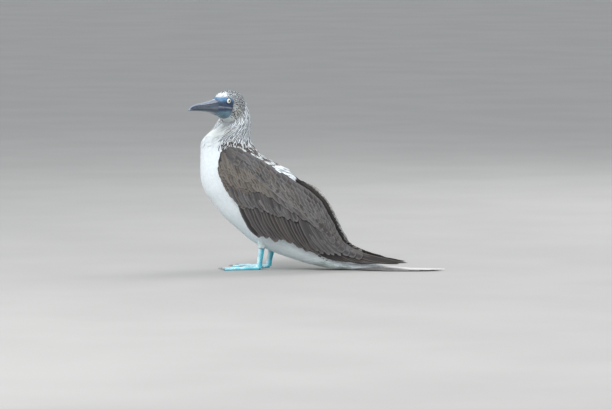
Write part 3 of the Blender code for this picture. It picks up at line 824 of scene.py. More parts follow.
@dataclass
class Face:
    """The bare face: where the skin shows, its folds, and the lids round each eye."""

    lid_radius: float = 5.9 * MM
    opening: float = 4.75 * MM
    edge_heights: tuple[float, ...] = (281, 284, 286.5, 290, 297, 304, 313, 321, 325, 328.6, 331)
    edge_ahead: tuple[float, ...] = (64, 44, 31, 29, 28.5, 27.5, 26.5, 24, 26, 31, 46)
    brow_ahead: tuple[float, ...] = (20, 32, 42, 50, 57, 62, 66, 69)
    brow_heights: tuple[float, ...] = (330.5, 329.8, 329.4, 329, 327.2, 325, 324.6, 331)
    slate: Colour = screen(38, 58, 82)
    # A lighter blue on the top of the lores, where light falls from above: painted highlight.
    lore_highlight: Colour = screen(94, 140, 180)
    teal: Colour = screen(112, 142, 158)
    ash: Colour = screen(142, 150, 164)
    night: Colour = screen(30, 38, 52)

    def eye(self, side: Side) -> tuple[Array, Array, float]:
        """The eyeball's middle, the way it looks and its radius, from the part's own node."""
        low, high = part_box("eye_" + side.word)
        middle = (np.array(low) + np.array(high)) / 2
        look = head_point(0.3, side.value, 0.0) - head_point(0.0, 0.0, 0.0)
        return middle, look / np.linalg.norm(look), (high.z - low.z) / 2

    def bare(self, points: Array) -> Array:
        """How bare the skin is at each point of the head, from 0 to 1."""
        ahead, _, height = head_place(points)
        edge = np.interp(height / MM, self.edge_heights, self.edge_ahead) * MM
        brow = np.interp(ahead / MM, self.brow_ahead, self.brow_heights) * MM
        return smooth(ahead - edge, -0.6 * MM, 0.6 * MM) * smooth(brow - height, -0.4 * MM, 0.4 * MM)

    def mouth_line(self, ahead: Array) -> Array:
        """The height of the mouth's corner fold at a distance ahead."""
        return np.interp(ahead, [22 * MM, 38 * MM, 62 * MM], [303.5 * MM, 306.6 * MM, 309 * MM])

    def folds(self, points: Array, normals: Array, bare: Array) -> Array:
        """Points of the head moved to raise its lids and folds and sink its creases.

        Args:
            points: The head's points.
            normals: The outward direction at each.
            bare: How bare each is.

        Returns:
            The moved points.
        """
        ahead, _, height = head_place(points)
        rise = np.zeros(len(points))
        line = height - self.mouth_line(ahead)
        inside = smooth(ahead, 26 * MM, 31 * MM) * bare
        rise -= 0.9 * MM * bump_at(line, 0, 0.75 * MM) * inside
        rise += 0.8 * MM * bump_at(line, 2.1 * MM, 1.3 * MM) * inside
        rise -= 0.35 * MM * bump_at(line, 4.6 * MM, 0.9 * MM) * inside
        sag = np.sin(height / MM * 1.35 + ahead / MM * 0.32 + 1.4 * speckle(points, 90, 3))
        rise += 0.24 * MM * sag * bare * smooth(-line, 1.5 * MM, 5 * MM)
        hollow = bump_at(ahead, 45 * MM, 7 * MM) * bump_at(height, 319 * MM, 6 * MM)
        rise -= 0.8 * MM * hollow * bare
        moved = points + normals * rise[:, None]
        for one in Side:
            middle, look, radius = self.eye(one)
            away = moved - middle
            depth = away @ look
            ring = np.linalg.norm(away - depth[:, None] * look, axis=1)
            facing = smooth(depth, 0, 2 * MM)
            lid = 0.9 * MM * bump_at(ring, self.lid_radius, 0.85 * MM)
            lid -= 0.35 * MM * bump_at(ring, self.lid_radius + 2 * MM, 0.7 * MM)
            near = smooth(ring, self.lid_radius + 2.6 * MM, self.lid_radius - 0.2 * MM)
            shell = math.sqrt(radius**2 - self.opening**2)
            settle = (shell + 0.35 * MM - depth) * near * 0.85
            sink = (radius * 0.3 - depth) * smooth(ring, self.opening, self.opening - 0.8 * MM)
            step = np.where(ring < self.opening, sink, settle + lid)
            moved = moved + look * (step * facing)[:, None]
        return moved

    def tones(self, points: Array) -> Array:
        """The colour of the bare skin at each point of the head, with a painted highlight on the top of
        the lores and painted shade in their hollow.
        """
        ahead, _, height = head_place(points)
        ahead, height = ahead / MM, height / MM
        tone = even(self.slate, len(points))
        # Painted highlight: the top of the lores is lighter blue.
        brow = smooth(height, 317.5, 325) * smooth(ahead, 66, 46)
        tone = blend(tone, self.lore_highlight, 0.85 * brow)
        tone = blend(tone, self.teal, 0.85 * smooth(height, 306, 299))
        tone = blend(tone, screen(112, 124, 112), 0.5 * smooth(height, 293, 287))
        fold = bump_at(height - self.mouth_line(ahead * MM) / MM, 2.3, 1.7) * smooth(ahead, 26, 33)
        tone = blend(tone, self.ash, 0.75 * fold)
        # Painted shade: a darker blue in the hollow of the lores.
        dark = bump_at(ahead, 44, 6) * bump_at(height, 316, 5)
        tone = blend(tone, screen(46, 62, 92), 0.75 * dark)
        for one in Side:
            middle, look, _ = self.eye(one)
            away = points - middle
            ring = np.linalg.norm(away - (away @ look)[:, None] * look, axis=1) / MM
            tone = blend(tone, self.night, 0.6 * bump_at(ring, 5.7, 1.2) * (away @ look > 0))
        return tone * (1 + 0.16 * speckle(points, 140, 5))[:, None]


@dataclass
class Plumage:
    """The bird's markings, with painted shade low on the body and under the tail, asked for by its skin
    and by its coat alike.
    """

    trunk: Trunk
    face: Face
    white: Colour = screen(216, 224, 227)
    # A greyer, greener white: painted shade on the lower flanks and belly, and also the thighs' tone.
    shaded_white: Colour = screen(204, 218, 220)
    ash: Colour = screen(224, 230, 236)
    dark: Colour = screen(56, 50, 47)
    bark: Colour = screen(132, 130, 128)
    olive: Colour = screen(172, 168, 146)
    # Grey green painted under the tail: painted shade.
    vent_shade: Colour = screen(128, 148, 138)

    def tones(self, t: Array, angle: Array, points: Array) -> tuple[Array, Array]:
        """The plumage's ground colour, with painted shade low on the body and under the tail, and how
        strong its dark middles are.

        Args:
            t: Each point's row along the trunk.
            angle: Its angle from the back or crown.
            points: Where it is.

        Returns:
            Rows of red, green and blue, and one marking a point.
        """
        back = np.cos(angle)
        tone = even(self.white, len(t))
        ahead, _, height = head_place(points)
        edge = np.interp(t, [4, 6, 7.5, 9, 11], [-1.25, -1.2, -0.85, -0.55, -0.3])
        collar = smooth(back - edge, 0.0, 0.5) * (1 - smooth(t, 9.8, 11.4))
        crown = smooth(ahead, 56 * MM, 16 * MM) * smooth(height, 284 * MM, 298 * MM)
        on_head = smooth(t, 4.8, 3.4)
        hood = crown * on_head + collar * (1 - on_head)
        tone = blend(tone, self.ash, 0.45 * hood)
        tone = blend(tone, self.bark, 0.4 * crown * on_head * smooth(ahead, 24 * MM, 4 * MM))
        mark = 1.25 * hood * np.interp(t, [4, 8, 11], [1, 0.9, 0.7])
        cheek = (t < 6.5) * bump_at(ahead, 17 * MM, 11 * MM) * bump_at(height, 303 * MM, 11 * MM)
        tone = blend(tone, self.olive, 0.6 * cheek)
        mark = mark * (1 - 0.5 * cheek)
        throat = (t < 8) * smooth(height, 300 * MM, 290 * MM) * smooth(ahead, 14 * MM, 30 * MM)
        tone = blend(tone, screen(222, 220, 206), 0.35 * throat)
        # Painted shade: the lower flanks and belly turn greyer and greener in noisy patches.
        low = smooth(t, 15.5, 19.5) * smooth(back, 0.3, -0.5) * 0.8
        shade = np.clip(0.45 + 0.9 * speckle(points, 22, 2), 0, 1)
        tone = blend(tone, self.shaded_white, low * shade)
        # Painted shade: grey-green patches under the tail.
        vent = smooth(t, 21.6, 22.4) * (1 - smooth(t, 24.3, 25.2)) * smooth(back, 0.5, -0.2)
        tone = blend(tone, self.vent_shade, vent * np.clip(0.35 + speckle(points, 70, 9), 0, 1))
        return tone, mark

    def mantle(self, t: Array, angle: Array) -> Array:
        """How far a place lies in the dark and white mottled mantle, from 0 to 1."""
        back = np.cos(angle)
        first = smooth(t, 9.4, 10.4) * (1 - smooth(t, 13.9, 14.3)) * smooth(back, -0.18, 0.12)
        second = smooth(t, 16.0, 16.8) * (1 - smooth(t, 21.5, 23)) * smooth(back, 0, 0.3)
        return first + 0.85 * second

    def ruffle(self, t: Array, angle: Array) -> Array:
        """How far the loose feathers of the back and the throat stand out over the rest."""
        back = np.cos(angle)
        tuft = 4.5 * MM * bump_at(t, 13.3, 0.35) * smooth(back, 0.3, 0.8)
        throat = 3.4 * MM * bump_at(t, 4.0, 1.3) * smooth(back, 0.1, -0.6)
        return tuft + throat

    def depth(self, t: Array, points: Array) -> Array:
        """How far under the part's surface the skin lies, below its feathers."""
        deep = np.interp(t, [0, 4, 8, 12, 20, 25, 27], [0.7, 1.0, 1.5, 2.4, 2.6, 1.6, 1.0]) * MM
        bare = self.bare(t, points)
        return deep * (1 - bare) + 0.1 * MM * bare

    def bare(self, t: Array, points: Array) -> Array:
        """How bare the skin is at each point of the trunk, which it is only on the face."""
        return np.where(t < self.trunk.face_end, self.face.bare(points), 0)


def flat_place(form_end: float, t: Array, angle: Array) -> Array:
    """The place of a point on the form's flat map: round it, and along it."""
    return np.stack([(angle / (2 * math.pi)) % 1.0, 0.03 + 0.95 * t / form_end], -1)


@dataclass
class BodySkin:
    """One closed skin under the whole coat, with the bare face, and the skin of each thigh."""

    trunk: Trunk
    plumage: Plumage
    face: Face
    thighs: Sequence[Thigh]
    bill: Bill
    sleeve_rings: int = 34
    head_rings: int = 120
    body_rings: int = 120
    sides: int = 224
    fine_to: float = 5.2
    thigh_rings: int = 22
    thigh_sides: int = 48

    def build(self) -> None:
        """Makes the skin, which stands for the part's nodes of flesh."""
        steps = np.concatenate(
            [
                np.linspace(0, self.fine_to, self.head_rings, endpoint=False),
                np.linspace(self.fine_to, self.trunk.end, self.body_rings),
            ]
        )
        angle = full_turn(self.sides)
        t, a = np.meshgrid(steps, angle, indexing="ij")
        base = self.trunk.points(t, a)
        depth = self.plumage.depth(t.ravel(), base.reshape(-1, 3)).reshape(t.shape)
        inner = self.trunk.points(t, a, -depth)
        sleeve = self._sleeve(angle)
        grid = np.concatenate([sleeve, inner])
        base = np.concatenate([sleeve, base]).reshape(-1, 3)
        ahead_t = np.repeat(np.linspace(-0.5, -0.02, self.sleeve_rings), self.sides)
        t = np.concatenate([ahead_t, t.ravel()])
        a = np.concatenate([np.tile(angle, self.sleeve_rings), a.ravel()])
        bare = self.plumage.bare(t, base)
        points, normals = grid.reshape(-1, 3), grid_normals(grid).reshape(-1, 3)
        on_head = t < self.trunk.fold_end
        points[on_head] = self.face.folds(points[on_head], normals[on_head], bare[on_head])
        tone, mark = self.plumage.tones(t, a, base)
        tone = blend(tone, self.plumage.dark, 0.5 * np.maximum(mark, self.plumage.mantle(t, a)))
        naked = t < self.trunk.face_end
        tone[naked] = blend(tone[naked], self.face.tones(base[naked]), bare[naked])
        mesher = Mesher()
        form, faces = tube(points.reshape(-1, self.sides, 3))
        self._add(mesher, form, faces, flat_place(self.trunk.end, t, a), tone, bare)
        for thigh in self.thighs:
            self._add_thigh(mesher, thigh)
        finish = SkinFinish("skin", screen(40, 52, 70), 0.35, 1100, 0.5, 0.35, 0.00025)
        nodes = ("head", "neck", "torso", "thigh_left", "thigh_right")
        mesher.build("skin", finish.make(), "body_plumage", nodes)

    def _sleeve(self, angle: Array) -> Array:
        """Rings of skin that run from the face onto the base of the bill and end in a thin lip."""
        rear = self.bill.rows[0][0] * MM - 0.5 * MM
        ahead = np.linspace(self.bill.horn_start, rear, self.sleeve_rings)
        swell = np.full(self.sleeve_rings, 0.3 * MM)
        swell[:3] = (-0.7 * MM, 0.05 * MM, 0.22 * MM)
        swell[-8:] = np.linspace(0.3, -0.1, 8) * MM
        fade = np.linspace(1, 0, self.sleeve_rings)[:, None] ** 2
        wave = 1.5 * MM * np.cos(3 * angle)[None] * fade
        around = np.broadcast_to(angle[None], wave.shape)
        return self.bill.shell(ahead[:, None] + wave, around, swell[:, None])

    def _add(
        self,
        mesher: Mesher,
        points: Array,
        faces: list[Array],
        bake: Array,
        tone: Array,
        bare: Array,
    ) -> None:
        """Adds a closed form, its last two points being the middles of its ends."""
        extra = np.tile(tone.mean(0), (2, 1))
        colours = np.column_stack([np.concatenate([tone, extra]), np.concatenate([bare, [0, 0]])])
        mesher.add(points, faces, capped_map(bake), np.zeros((len(points), 3)), colours)

    def _add_thigh(self, mesher: Mesher, thigh: Thigh) -> None:
        """Adds the skin of one thigh, its root sunk in the body."""
        steps = np.linspace(0, thigh.end, self.thigh_rings)
        angle = full_turn(self.thigh_sides)
        t, a = (g.ravel() for g in np.meshgrid(steps, angle, indexing="ij"))
        points = thigh.points(t, a, -1.2 * MM)
        form, faces = tube(points.reshape(self.thigh_rings, self.thigh_sides, 3))
        bake = flat_place(thigh.end, t, a)
        self._add(mesher, form, faces, bake, even(self.plumage.shaded_white, len(t)), np.zeros(len(t)))


@dataclass
class Tuft:
    """The size and lie of one kind of small feather."""

    length: float
    width: float
    spacing: tuple[float, float]
    lift: float
    camber: float = 0.14
    jitter: float = 0.38
    skew: float = 0.12
    sunk: float = 1.0
    stations: tuple[float, ...] = (0.0, 0.34, 0.7, 0.92)
    widths: tuple[float, ...] = (0.5, 1.0, 0.86, 0.46)


@dataclass
class Coat:
    """Small overlapping feathers laid in rows over a form, from head to tail."""

    form: Form
    patch: float = 0.0015
    levels: int = 240
    spokes: int = 96

    def rows(
        self, start: float, end: float, tuft: Tuft, chance: np.random.Generator
    ) -> tuple[Array, Array]:
        """Where the feathers root.

        Args:
            start: The first row of the form that they cover.
            end: The last.
            tuft: Their kind.
            chance: The seeded draws.

        Returns:
            Each root's place along the form and its angle.
        """
        fine = np.linspace(start, end, self.levels)
        turn = np.linspace(0, 2 * math.pi, self.spokes + 1)
        grid_t, grid_a = np.meshgrid(fine, turn[:-1], indexing="ij")
        step, _ = self.form.measure(grid_t, grid_a)
        travel = np.concatenate([[0], np.cumsum(step.max(1)[:-1] * np.diff(fine))])
        places = np.interp(np.arange(0, travel[-1], tuft.spacing[0]), travel, fine)
        travelled = np.cumsum(step[:-1] * np.diff(fine)[:, None], 0)
        reach = np.concatenate([np.zeros((1, self.spokes)), travelled])
        reach = np.column_stack([reach, reach[:, :1]]) / tuft.spacing[0]
        before = np.full(self.spokes + 1, -1.0)
        all_t, all_a = [], []
        for i, place in enumerate(places):
            level = (place - start) / (end - start) * (len(fine) - 1)
            low = min(int(level), len(fine) - 2)
            reached = reach[low] + (reach[low + 1] - reach[low]) * (level - low)
            _, round_step = self.form.measure(np.full(self.spokes, place), turn[:-1])
            arc = np.concatenate([[0], np.cumsum(round_step) * (turn[1] - turn[0])])
            count = max(int(arc[-1] / tuft.spacing[1]), 6)
            spots = (np.arange(count) + 0.5 * (i % 2)) / count * arc[-1]
            spots += chance.uniform(-1, 1, count) * tuft.jitter * tuft.spacing[1]
            spots = np.interp(spots % arc[-1], arc, turn)
            shift = chance.uniform(-1, 1, count) * tuft.jitter * (places[1] - places[0])
            now, then = (np.floor(np.interp(spots, turn, far)) for far in (reached, before))
            due = now > then
            all_a.append(spots[due])
            all_t.append((place + shift)[due])
            before = reached
        return np.concatenate(all_t), np.concatenate(all_a)

    def grow(
        self,
        mesher: Mesher,
        t: Array,
        angle: Array,
        tuft: Tuft,
        depth: Array,
        tone: Array,
        mark: Array,
        chance: np.random.Generator,
        ruffle: Array | float = 0.0,
    ) -> None:
        """Adds one closed feather at each root.

        Args:
            mesher: Takes the feathers.
            t: Each root's place along the form.
            angle: Its angle round the form.
            tuft: The kind of feather.
            depth: How deep each is rooted under the part's surface.
            tone: Rows of red, green and blue.
            mark: How strong each one's dark middle is.
            chance: The seeded draws.
            ruffle: How much more each one's tip stands out.
        """
        count = len(t)
        length = tuft.length * chance.uniform(0.8, 1.2, count)
        stride = self.form.travel(t, angle, length)
        step_a = np.maximum(self.form.measure(t + stride / 2, angle)[1], 3e-3)
        width = tuft.width * chance.uniform(0.85, 1.15, count)
        skew = chance.normal(0, tuft.skew, count)
        lift = tuft.lift * chance.uniform(0.55, 1.25, count) + ruffle
        s = np.array([v for v in tuft.stations for _ in range(3)] + [1.0])
        wide = np.array([v for v in tuft.widths for _ in range(3)] + [0.0])
        c = np.array([-1.0, 0.0, 1.0] * len(tuft.stations) + [0.0])
        top = 1 - np.abs(c)
        place_t = t[:, None] + stride[:, None] * s
        aside = width[:, None] / 2 * wide * c + length[:, None] * s * skew[:, None]
        place_a = angle[:, None] + aside / step_a[:, None]
        root_depth = depth * tuft.sunk
        rise = -root_depth[:, None] + (root_depth + lift)[:, None] * s**0.8
        rise = rise + tuft.camber * width[:, None] * top * wide
        points = self.form.points(place_t, place_a, rise).reshape(-1, 3)
        root = flat_place(self.form.end, t, angle)
        bake = root[:, None, :] + np.stack([c, 2 * s - 1], -1)[None] * self.patch
        faces = strand_faces(count, len(tuft.stations), 3)
        values = feather_values(c, s, tone, mark, chance)
        mesher.add(points, faces, np.clip(bake.reshape(-1, 2), 0, 1), *values)


class Cover(Enum):
    """Which places of the trunk a piece of coat keeps to."""

    PLAIN = "outside the mottled mantle"
    MOTTLED = "the mottled mantle, its feathers dark or white"
    CREST = "the top of the back"


@dataclass(frozen=True)
class Patch:
    """One piece of the body's coat, from its first row of the trunk to its last."""

    name: str
    start: float
    end: float
    tuft: Tuft
    finish: bpy.types.Material
    slot: str
    seed: int
    cover: Cover = Cover.PLAIN


CROWN_TUFT = Tuft(6.2 * MM, 2.9 * MM, (2.6 * MM, 2.0 * MM), 0.3 * MM)
NAPE_TUFT = Tuft(16 * MM, 6.4 * MM, (6.2 * MM, 4.9 * MM), 0.3 * MM, 0.1, 0.3, 0.1, 0.7)
BREAST_TUFT = Tuft(13 * MM, 6.4 * MM, (3.5 * MM, 3.2 * MM), 0.07 * MM, 0.015, 0.38, 0.12, 0.13)
MANTLE_TUFT = Tuft(10 * MM, 4.6 * MM, (3.2 * MM, 2.8 * MM), 1.0 * MM, 0.14, 0.45, 0.22)
RUMP_TUFT = Tuft(23 * MM, 8.5 * MM, (3.4 * MM, 3.6 * MM), 6.5 * MM, 0.12, 0.4, 0.16)
TAIL_ROOT_TUFT = Tuft(16 * MM, 6.0 * MM, (4.0 * MM, 3.4 * MM), 0.9 * MM, 0.14, 0.4, 0.2)
THIGH_TUFT = Tuft(8 * MM, 3.6 * MM, (2.2 * MM, 2.0 * MM), 0.5 * MM)


@dataclass
class BodyCoat:
    """The small feathers of head, neck and body, each kind with its own size."""

    trunk: Trunk
    plumage: Plumage
    hidden: Callable[[Array], Array]

    def patches(self) -> tuple[Patch, ...]:
        """The coat's pieces, from the head to the tail."""
        dark, white = self.plumage.dark, self.plumage.white
        cap = PlumageFinish(
            "plumage_crown", screen(50, 49, 52), white, 0.3, barbs=5, dark_width=0.74, relief=0.15
        ).make()
        fine = PlumageFinish(
            "plumage_streaked", screen(58, 57, 61), white, 0.65, barbs=7, dark_width=0.5, relief=0.1
        ).make()
        soft = PlumageFinish("plumage_white", dark, white, 0.25, barbs=9, contrast=0.1, relief=0.07).make()
        bold = PlumageFinish("plumage_mottled", dark, screen(205, 200, 192), 0.5, barbs=12).make()
        neck, body, end = self.trunk.neck_start, self.trunk.body_start, self.trunk.end
        slot = "body_plumage"
        return (
            Patch("coat_head", 0.0, neck, CROWN_TUFT, cap, "head_plumage", 11),
            Patch("coat_neck", neck - 0.2, body, NAPE_TUFT, fine, "neck_plumage", 12),
            Patch("coat_body", body - 0.4, 22.0, BREAST_TUFT, soft, slot, 13),
            Patch("coat_vent", 21.6, end, TAIL_ROOT_TUFT, soft, slot, 14),
            Patch("coat_mantle", 9.4, 22.6, MANTLE_TUFT, bold, slot, 15, Cover.MOTTLED),
            Patch("coat_rump", 13.5, 14.7, RUMP_TUFT, soft, slot, 16, Cover.CREST),
        )

    def build(self) -> None:
        """Makes the coat's pieces."""
        for patch in self.patches():
            self._piece(patch)

    def _piece(self, patch: Patch) -> None:
        """Makes one piece of the coat.

        Args:
            patch: Where it lies and what it is made of.
        """
        chance = np.random.default_rng(patch.seed)
        coat = Coat(self.trunk)
        t, angle = coat.rows(patch.start, patch.end, patch.tuft, chance)
        base = self.trunk.points(t, angle)
        keep = self.plumage.bare(t, base) < chance.uniform(0.2, 0.5, len(t))
        keep &= ~self.hidden(base)
        mantle = self.plumage.mantle(t, angle)
        if patch.cover is Cover.CREST:
            keep &= np.cos(angle) > 0.45
        elif patch.cover is Cover.MOTTLED:
            keep &= mantle > chance.uniform(0.1, 0.9, len(t))
        else:
            keep &= (mantle < chance.uniform(0.3, 1.0, len(t))) | (t < 9)
        t, angle, base = t[keep], angle[keep], base[keep]
        tone, mark = self.plumage.tones(t, angle, base)
        mark = smooth(mark - chance.uniform(0.14, 0.85, len(t)), -0.12, 0.25)
        if patch.cover is Cover.MOTTLED:
            cloud = speckle(base, 120, 4) + chance.normal(0, 0.25, len(t))
            tone = blend(tone, self.plumage.dark, smooth(cloud, -0.12, 0.04))
            mark = 0.75 * chance.uniform(0, 1, len(t))
        tone = tone * chance.uniform(0.93, 1.03, (len(t), 1))
        mesher = Mesher()
        ruffle = self.plumage.ruffle(t, angle)
        depth = self.plumage.depth(t, base)
        coat.grow(mesher, t, angle, patch.tuft, depth, tone, mark, chance, ruffle)
        mesher.build(patch.name, patch.finish, patch.slot)


@dataclass
class ThighCoat:
    """The short white feathers of both thighs."""

    thighs: Sequence[Thigh]
    seed: int = 20
    bare_end: float = 0.25
    depth: float = 1.0 * MM

    def build(self, finish: bpy.types.Material, tone: Colour) -> None:
        """Makes the thighs' coat as one piece."""
        mesher = Mesher()
        for thigh in self.thighs:
            chance = np.random.default_rng(self.seed + thigh.side.value)
            coat = Coat(thigh)
            t, angle = coat.rows(0.0, thigh.end - self.bare_end, THIGH_TUFT, chance)
            tones = np.array(tone) * chance.uniform(0.92, 1.05, (len(t), 1))
            depth = np.full(len(t), self.depth)
            coat.grow(mesher, t, angle, THIGH_TUFT, depth, tones, np.zeros(len(t)), chance)
        mesher.build("coat_thighs", finish, "body_plumage")


@dataclass
class Vanes:
    """Builds large feathers on a nearly flat plane, each with a raised shaft and bent barbs."""

    height: Callable[[Array, Array], Array]
    place: Callable[[Array, Array, Array], Array]
    stations: int = 11
    across: int = 7

    def grow(
        self,
        mesher: Mesher,
        paths: Array,
        width: Array,
        lift: Array,
        tip_lift: Array,
        ride: float,
        tone: Array,
        mark: Array,
        chance: np.random.Generator,
        sink: float = -1.5 * MM,
        thickness: float = 0.35 * MM,
        point: float = 0.62,
        cells: tuple[int, int, int] = (20, 6, 0),
    ) -> None:
        """Adds feathers.

        Args:
            mesher: Takes the feathers.
            paths: Root, middle and tip of each in the plane.
            width: Each one's greatest width.
            lift: How high each lies past its root.
            tip_lift: How high its tip lies.
            ride: How far its front edge stands over its shaft.
            tone: Rows of red, green and blue.
            mark: How strong each one's dark middle is.
            chance: The seeded draws.
            sink: How high its root lies.
            thickness: How thick it is at the shaft.
            point: How pointed the tip is, less being rounder.
            cells: Columns and rows of the flat map's cells, and the first cell used.
        """
        count = len(paths)
        s = (1 - (1 - np.linspace(0, 1, self.stations + 1)) ** 1.35)[:-1]
        c = np.linspace(1, -1, self.across)
        taper = np.clip((1 - s) / 0.34, 0, 1) ** point
        wide = np.interp(s, [0, 0.1, 0.4, 1], [0.34, 0.72, 1, 1]) * taper
        root, middle, tip = (paths[:, k][:, None] for k in range(3))
        bend = 2 * middle - (root + tip) / 2
        u = s[None, :, None]
        line = root * (1 - u) ** 2 + bend * 2 * u * (1 - u) + tip * u**2
        step = 2 * (bend - root) * (1 - u) + 2 * (tip - bend) * u
        step = step / np.linalg.norm(step, axis=-1, keepdims=True)
        normal = np.stack([step[..., 1], -step[..., 0]], -1)
        ragged = 1 + chance.uniform(-0.07, 0.05, (count, self.stations, self.across))
        ragged *= 1 - 0.22 * (chance.uniform(0, 1, (count, self.stations, 1)) > 0.93)
        reach = c[None, None, :] * wide[None, :, None] * width[:, None, None] / 2 * ragged
        barb = np.abs(c)[None, None, :] * width[:, None, None] * 0.3 * wide[None, :, None]
        aside = normal[:, :, None, :] * reach[..., None]
        flat = line[:, :, None, :] + aside + step[:, :, None, :] * barb[..., None]
        base = self.height(flat[..., 0], flat[..., 1])
        heart = self.height(line[..., 0], line[..., 1])[:, :, None]
        base = np.maximum(base, heart - 2.2 * MM)
        climbs = [np.interp(s, [0, 0.14, 0.6], [sink, a, b]) for a, b in zip(lift, tip_lift)]
        along = np.stack(climbs)
        crown = thickness * (1 - np.abs(c) ** 1.5) + 0.28 * MM * bump_at(c, 0, 0.12)
        curl = ride * c[None, None, :] * np.minimum(1, 7 * s)[None, :, None]
        high = base + along[:, :, None] + crown[None, None, :] + curl
        under_height = high[:, :, self.across // 2] - thickness - 0.5 * MM
        under = np.concatenate([line, under_height[..., None]], -1)[:, :, None, :]
        top = np.concatenate([flat, high[..., None]], -1)
        rings = np.concatenate([top, under], 2)
        end_height = high[:, -1, self.across // 2] - 0.1 * MM
        ends = np.concatenate([tip[:, 0], end_height[:, None]], -1)[:, None]
        flat_points = np.concatenate([rings.reshape(count, -1, 3), ends], 1)
        world = self.place(*np.moveaxis(flat_points, -1, 0)).reshape(-1, 3)
        ring_c = np.concatenate([c, [0.0]])
        cs = np.concatenate([np.tile(ring_c, self.stations), [0.0]])
        ss = np.concatenate([np.repeat(s, self.across + 1), [1.0]])
        number = np.arange(count) + cells[2]
        corner = np.stack([number % cells[0] / cells[0], number // cells[0] / cells[1]], -1)
        spot = np.stack([(0.5 + 0.42 * cs) / cells[0], (0.04 + 0.9 * ss) / cells[1]], -1)
        bake = corner[:, None] + spot[None]
        faces = strand_faces(count, self.stations, self.across + 1)
        values = feather_values(cs, ss, tone, mark, chance)
        mesher.add(world, faces, bake.reshape(-1, 2), *values)


@dataclass(frozen=True)
class Tier:
    """One row of wing feathers, between its first and its last feather.

    A path is the root, middle and tip of a feather as (x, z) in millimetres.
    """

    name: str
    first: Path
    last: Path
    count: int
    width: float
    lift: float
    ride: float
    stack: float = 0.0
    bow: float = 0.0
    point: float = 0.62
    tone: Colour = screen(96, 87, 83)
    spread: float = 0.16


@dataclass(frozen=True)
class Fringe:
    """A row of small feathers along an edge of the wing, told by places on the core.

    A place is how far along the core's rows it is and how far down from its upper edge.
    """

    name: str
    start: float
    end: float
    down: float
    slope: float
    reach: float
    count: int
    width: float
    lift: float
    ride: float = 0.3
    stack: float = 0.0
    point: float = 0.45
    tone: Colour = screen(86, 82, 80)
    spread: float = 0.14


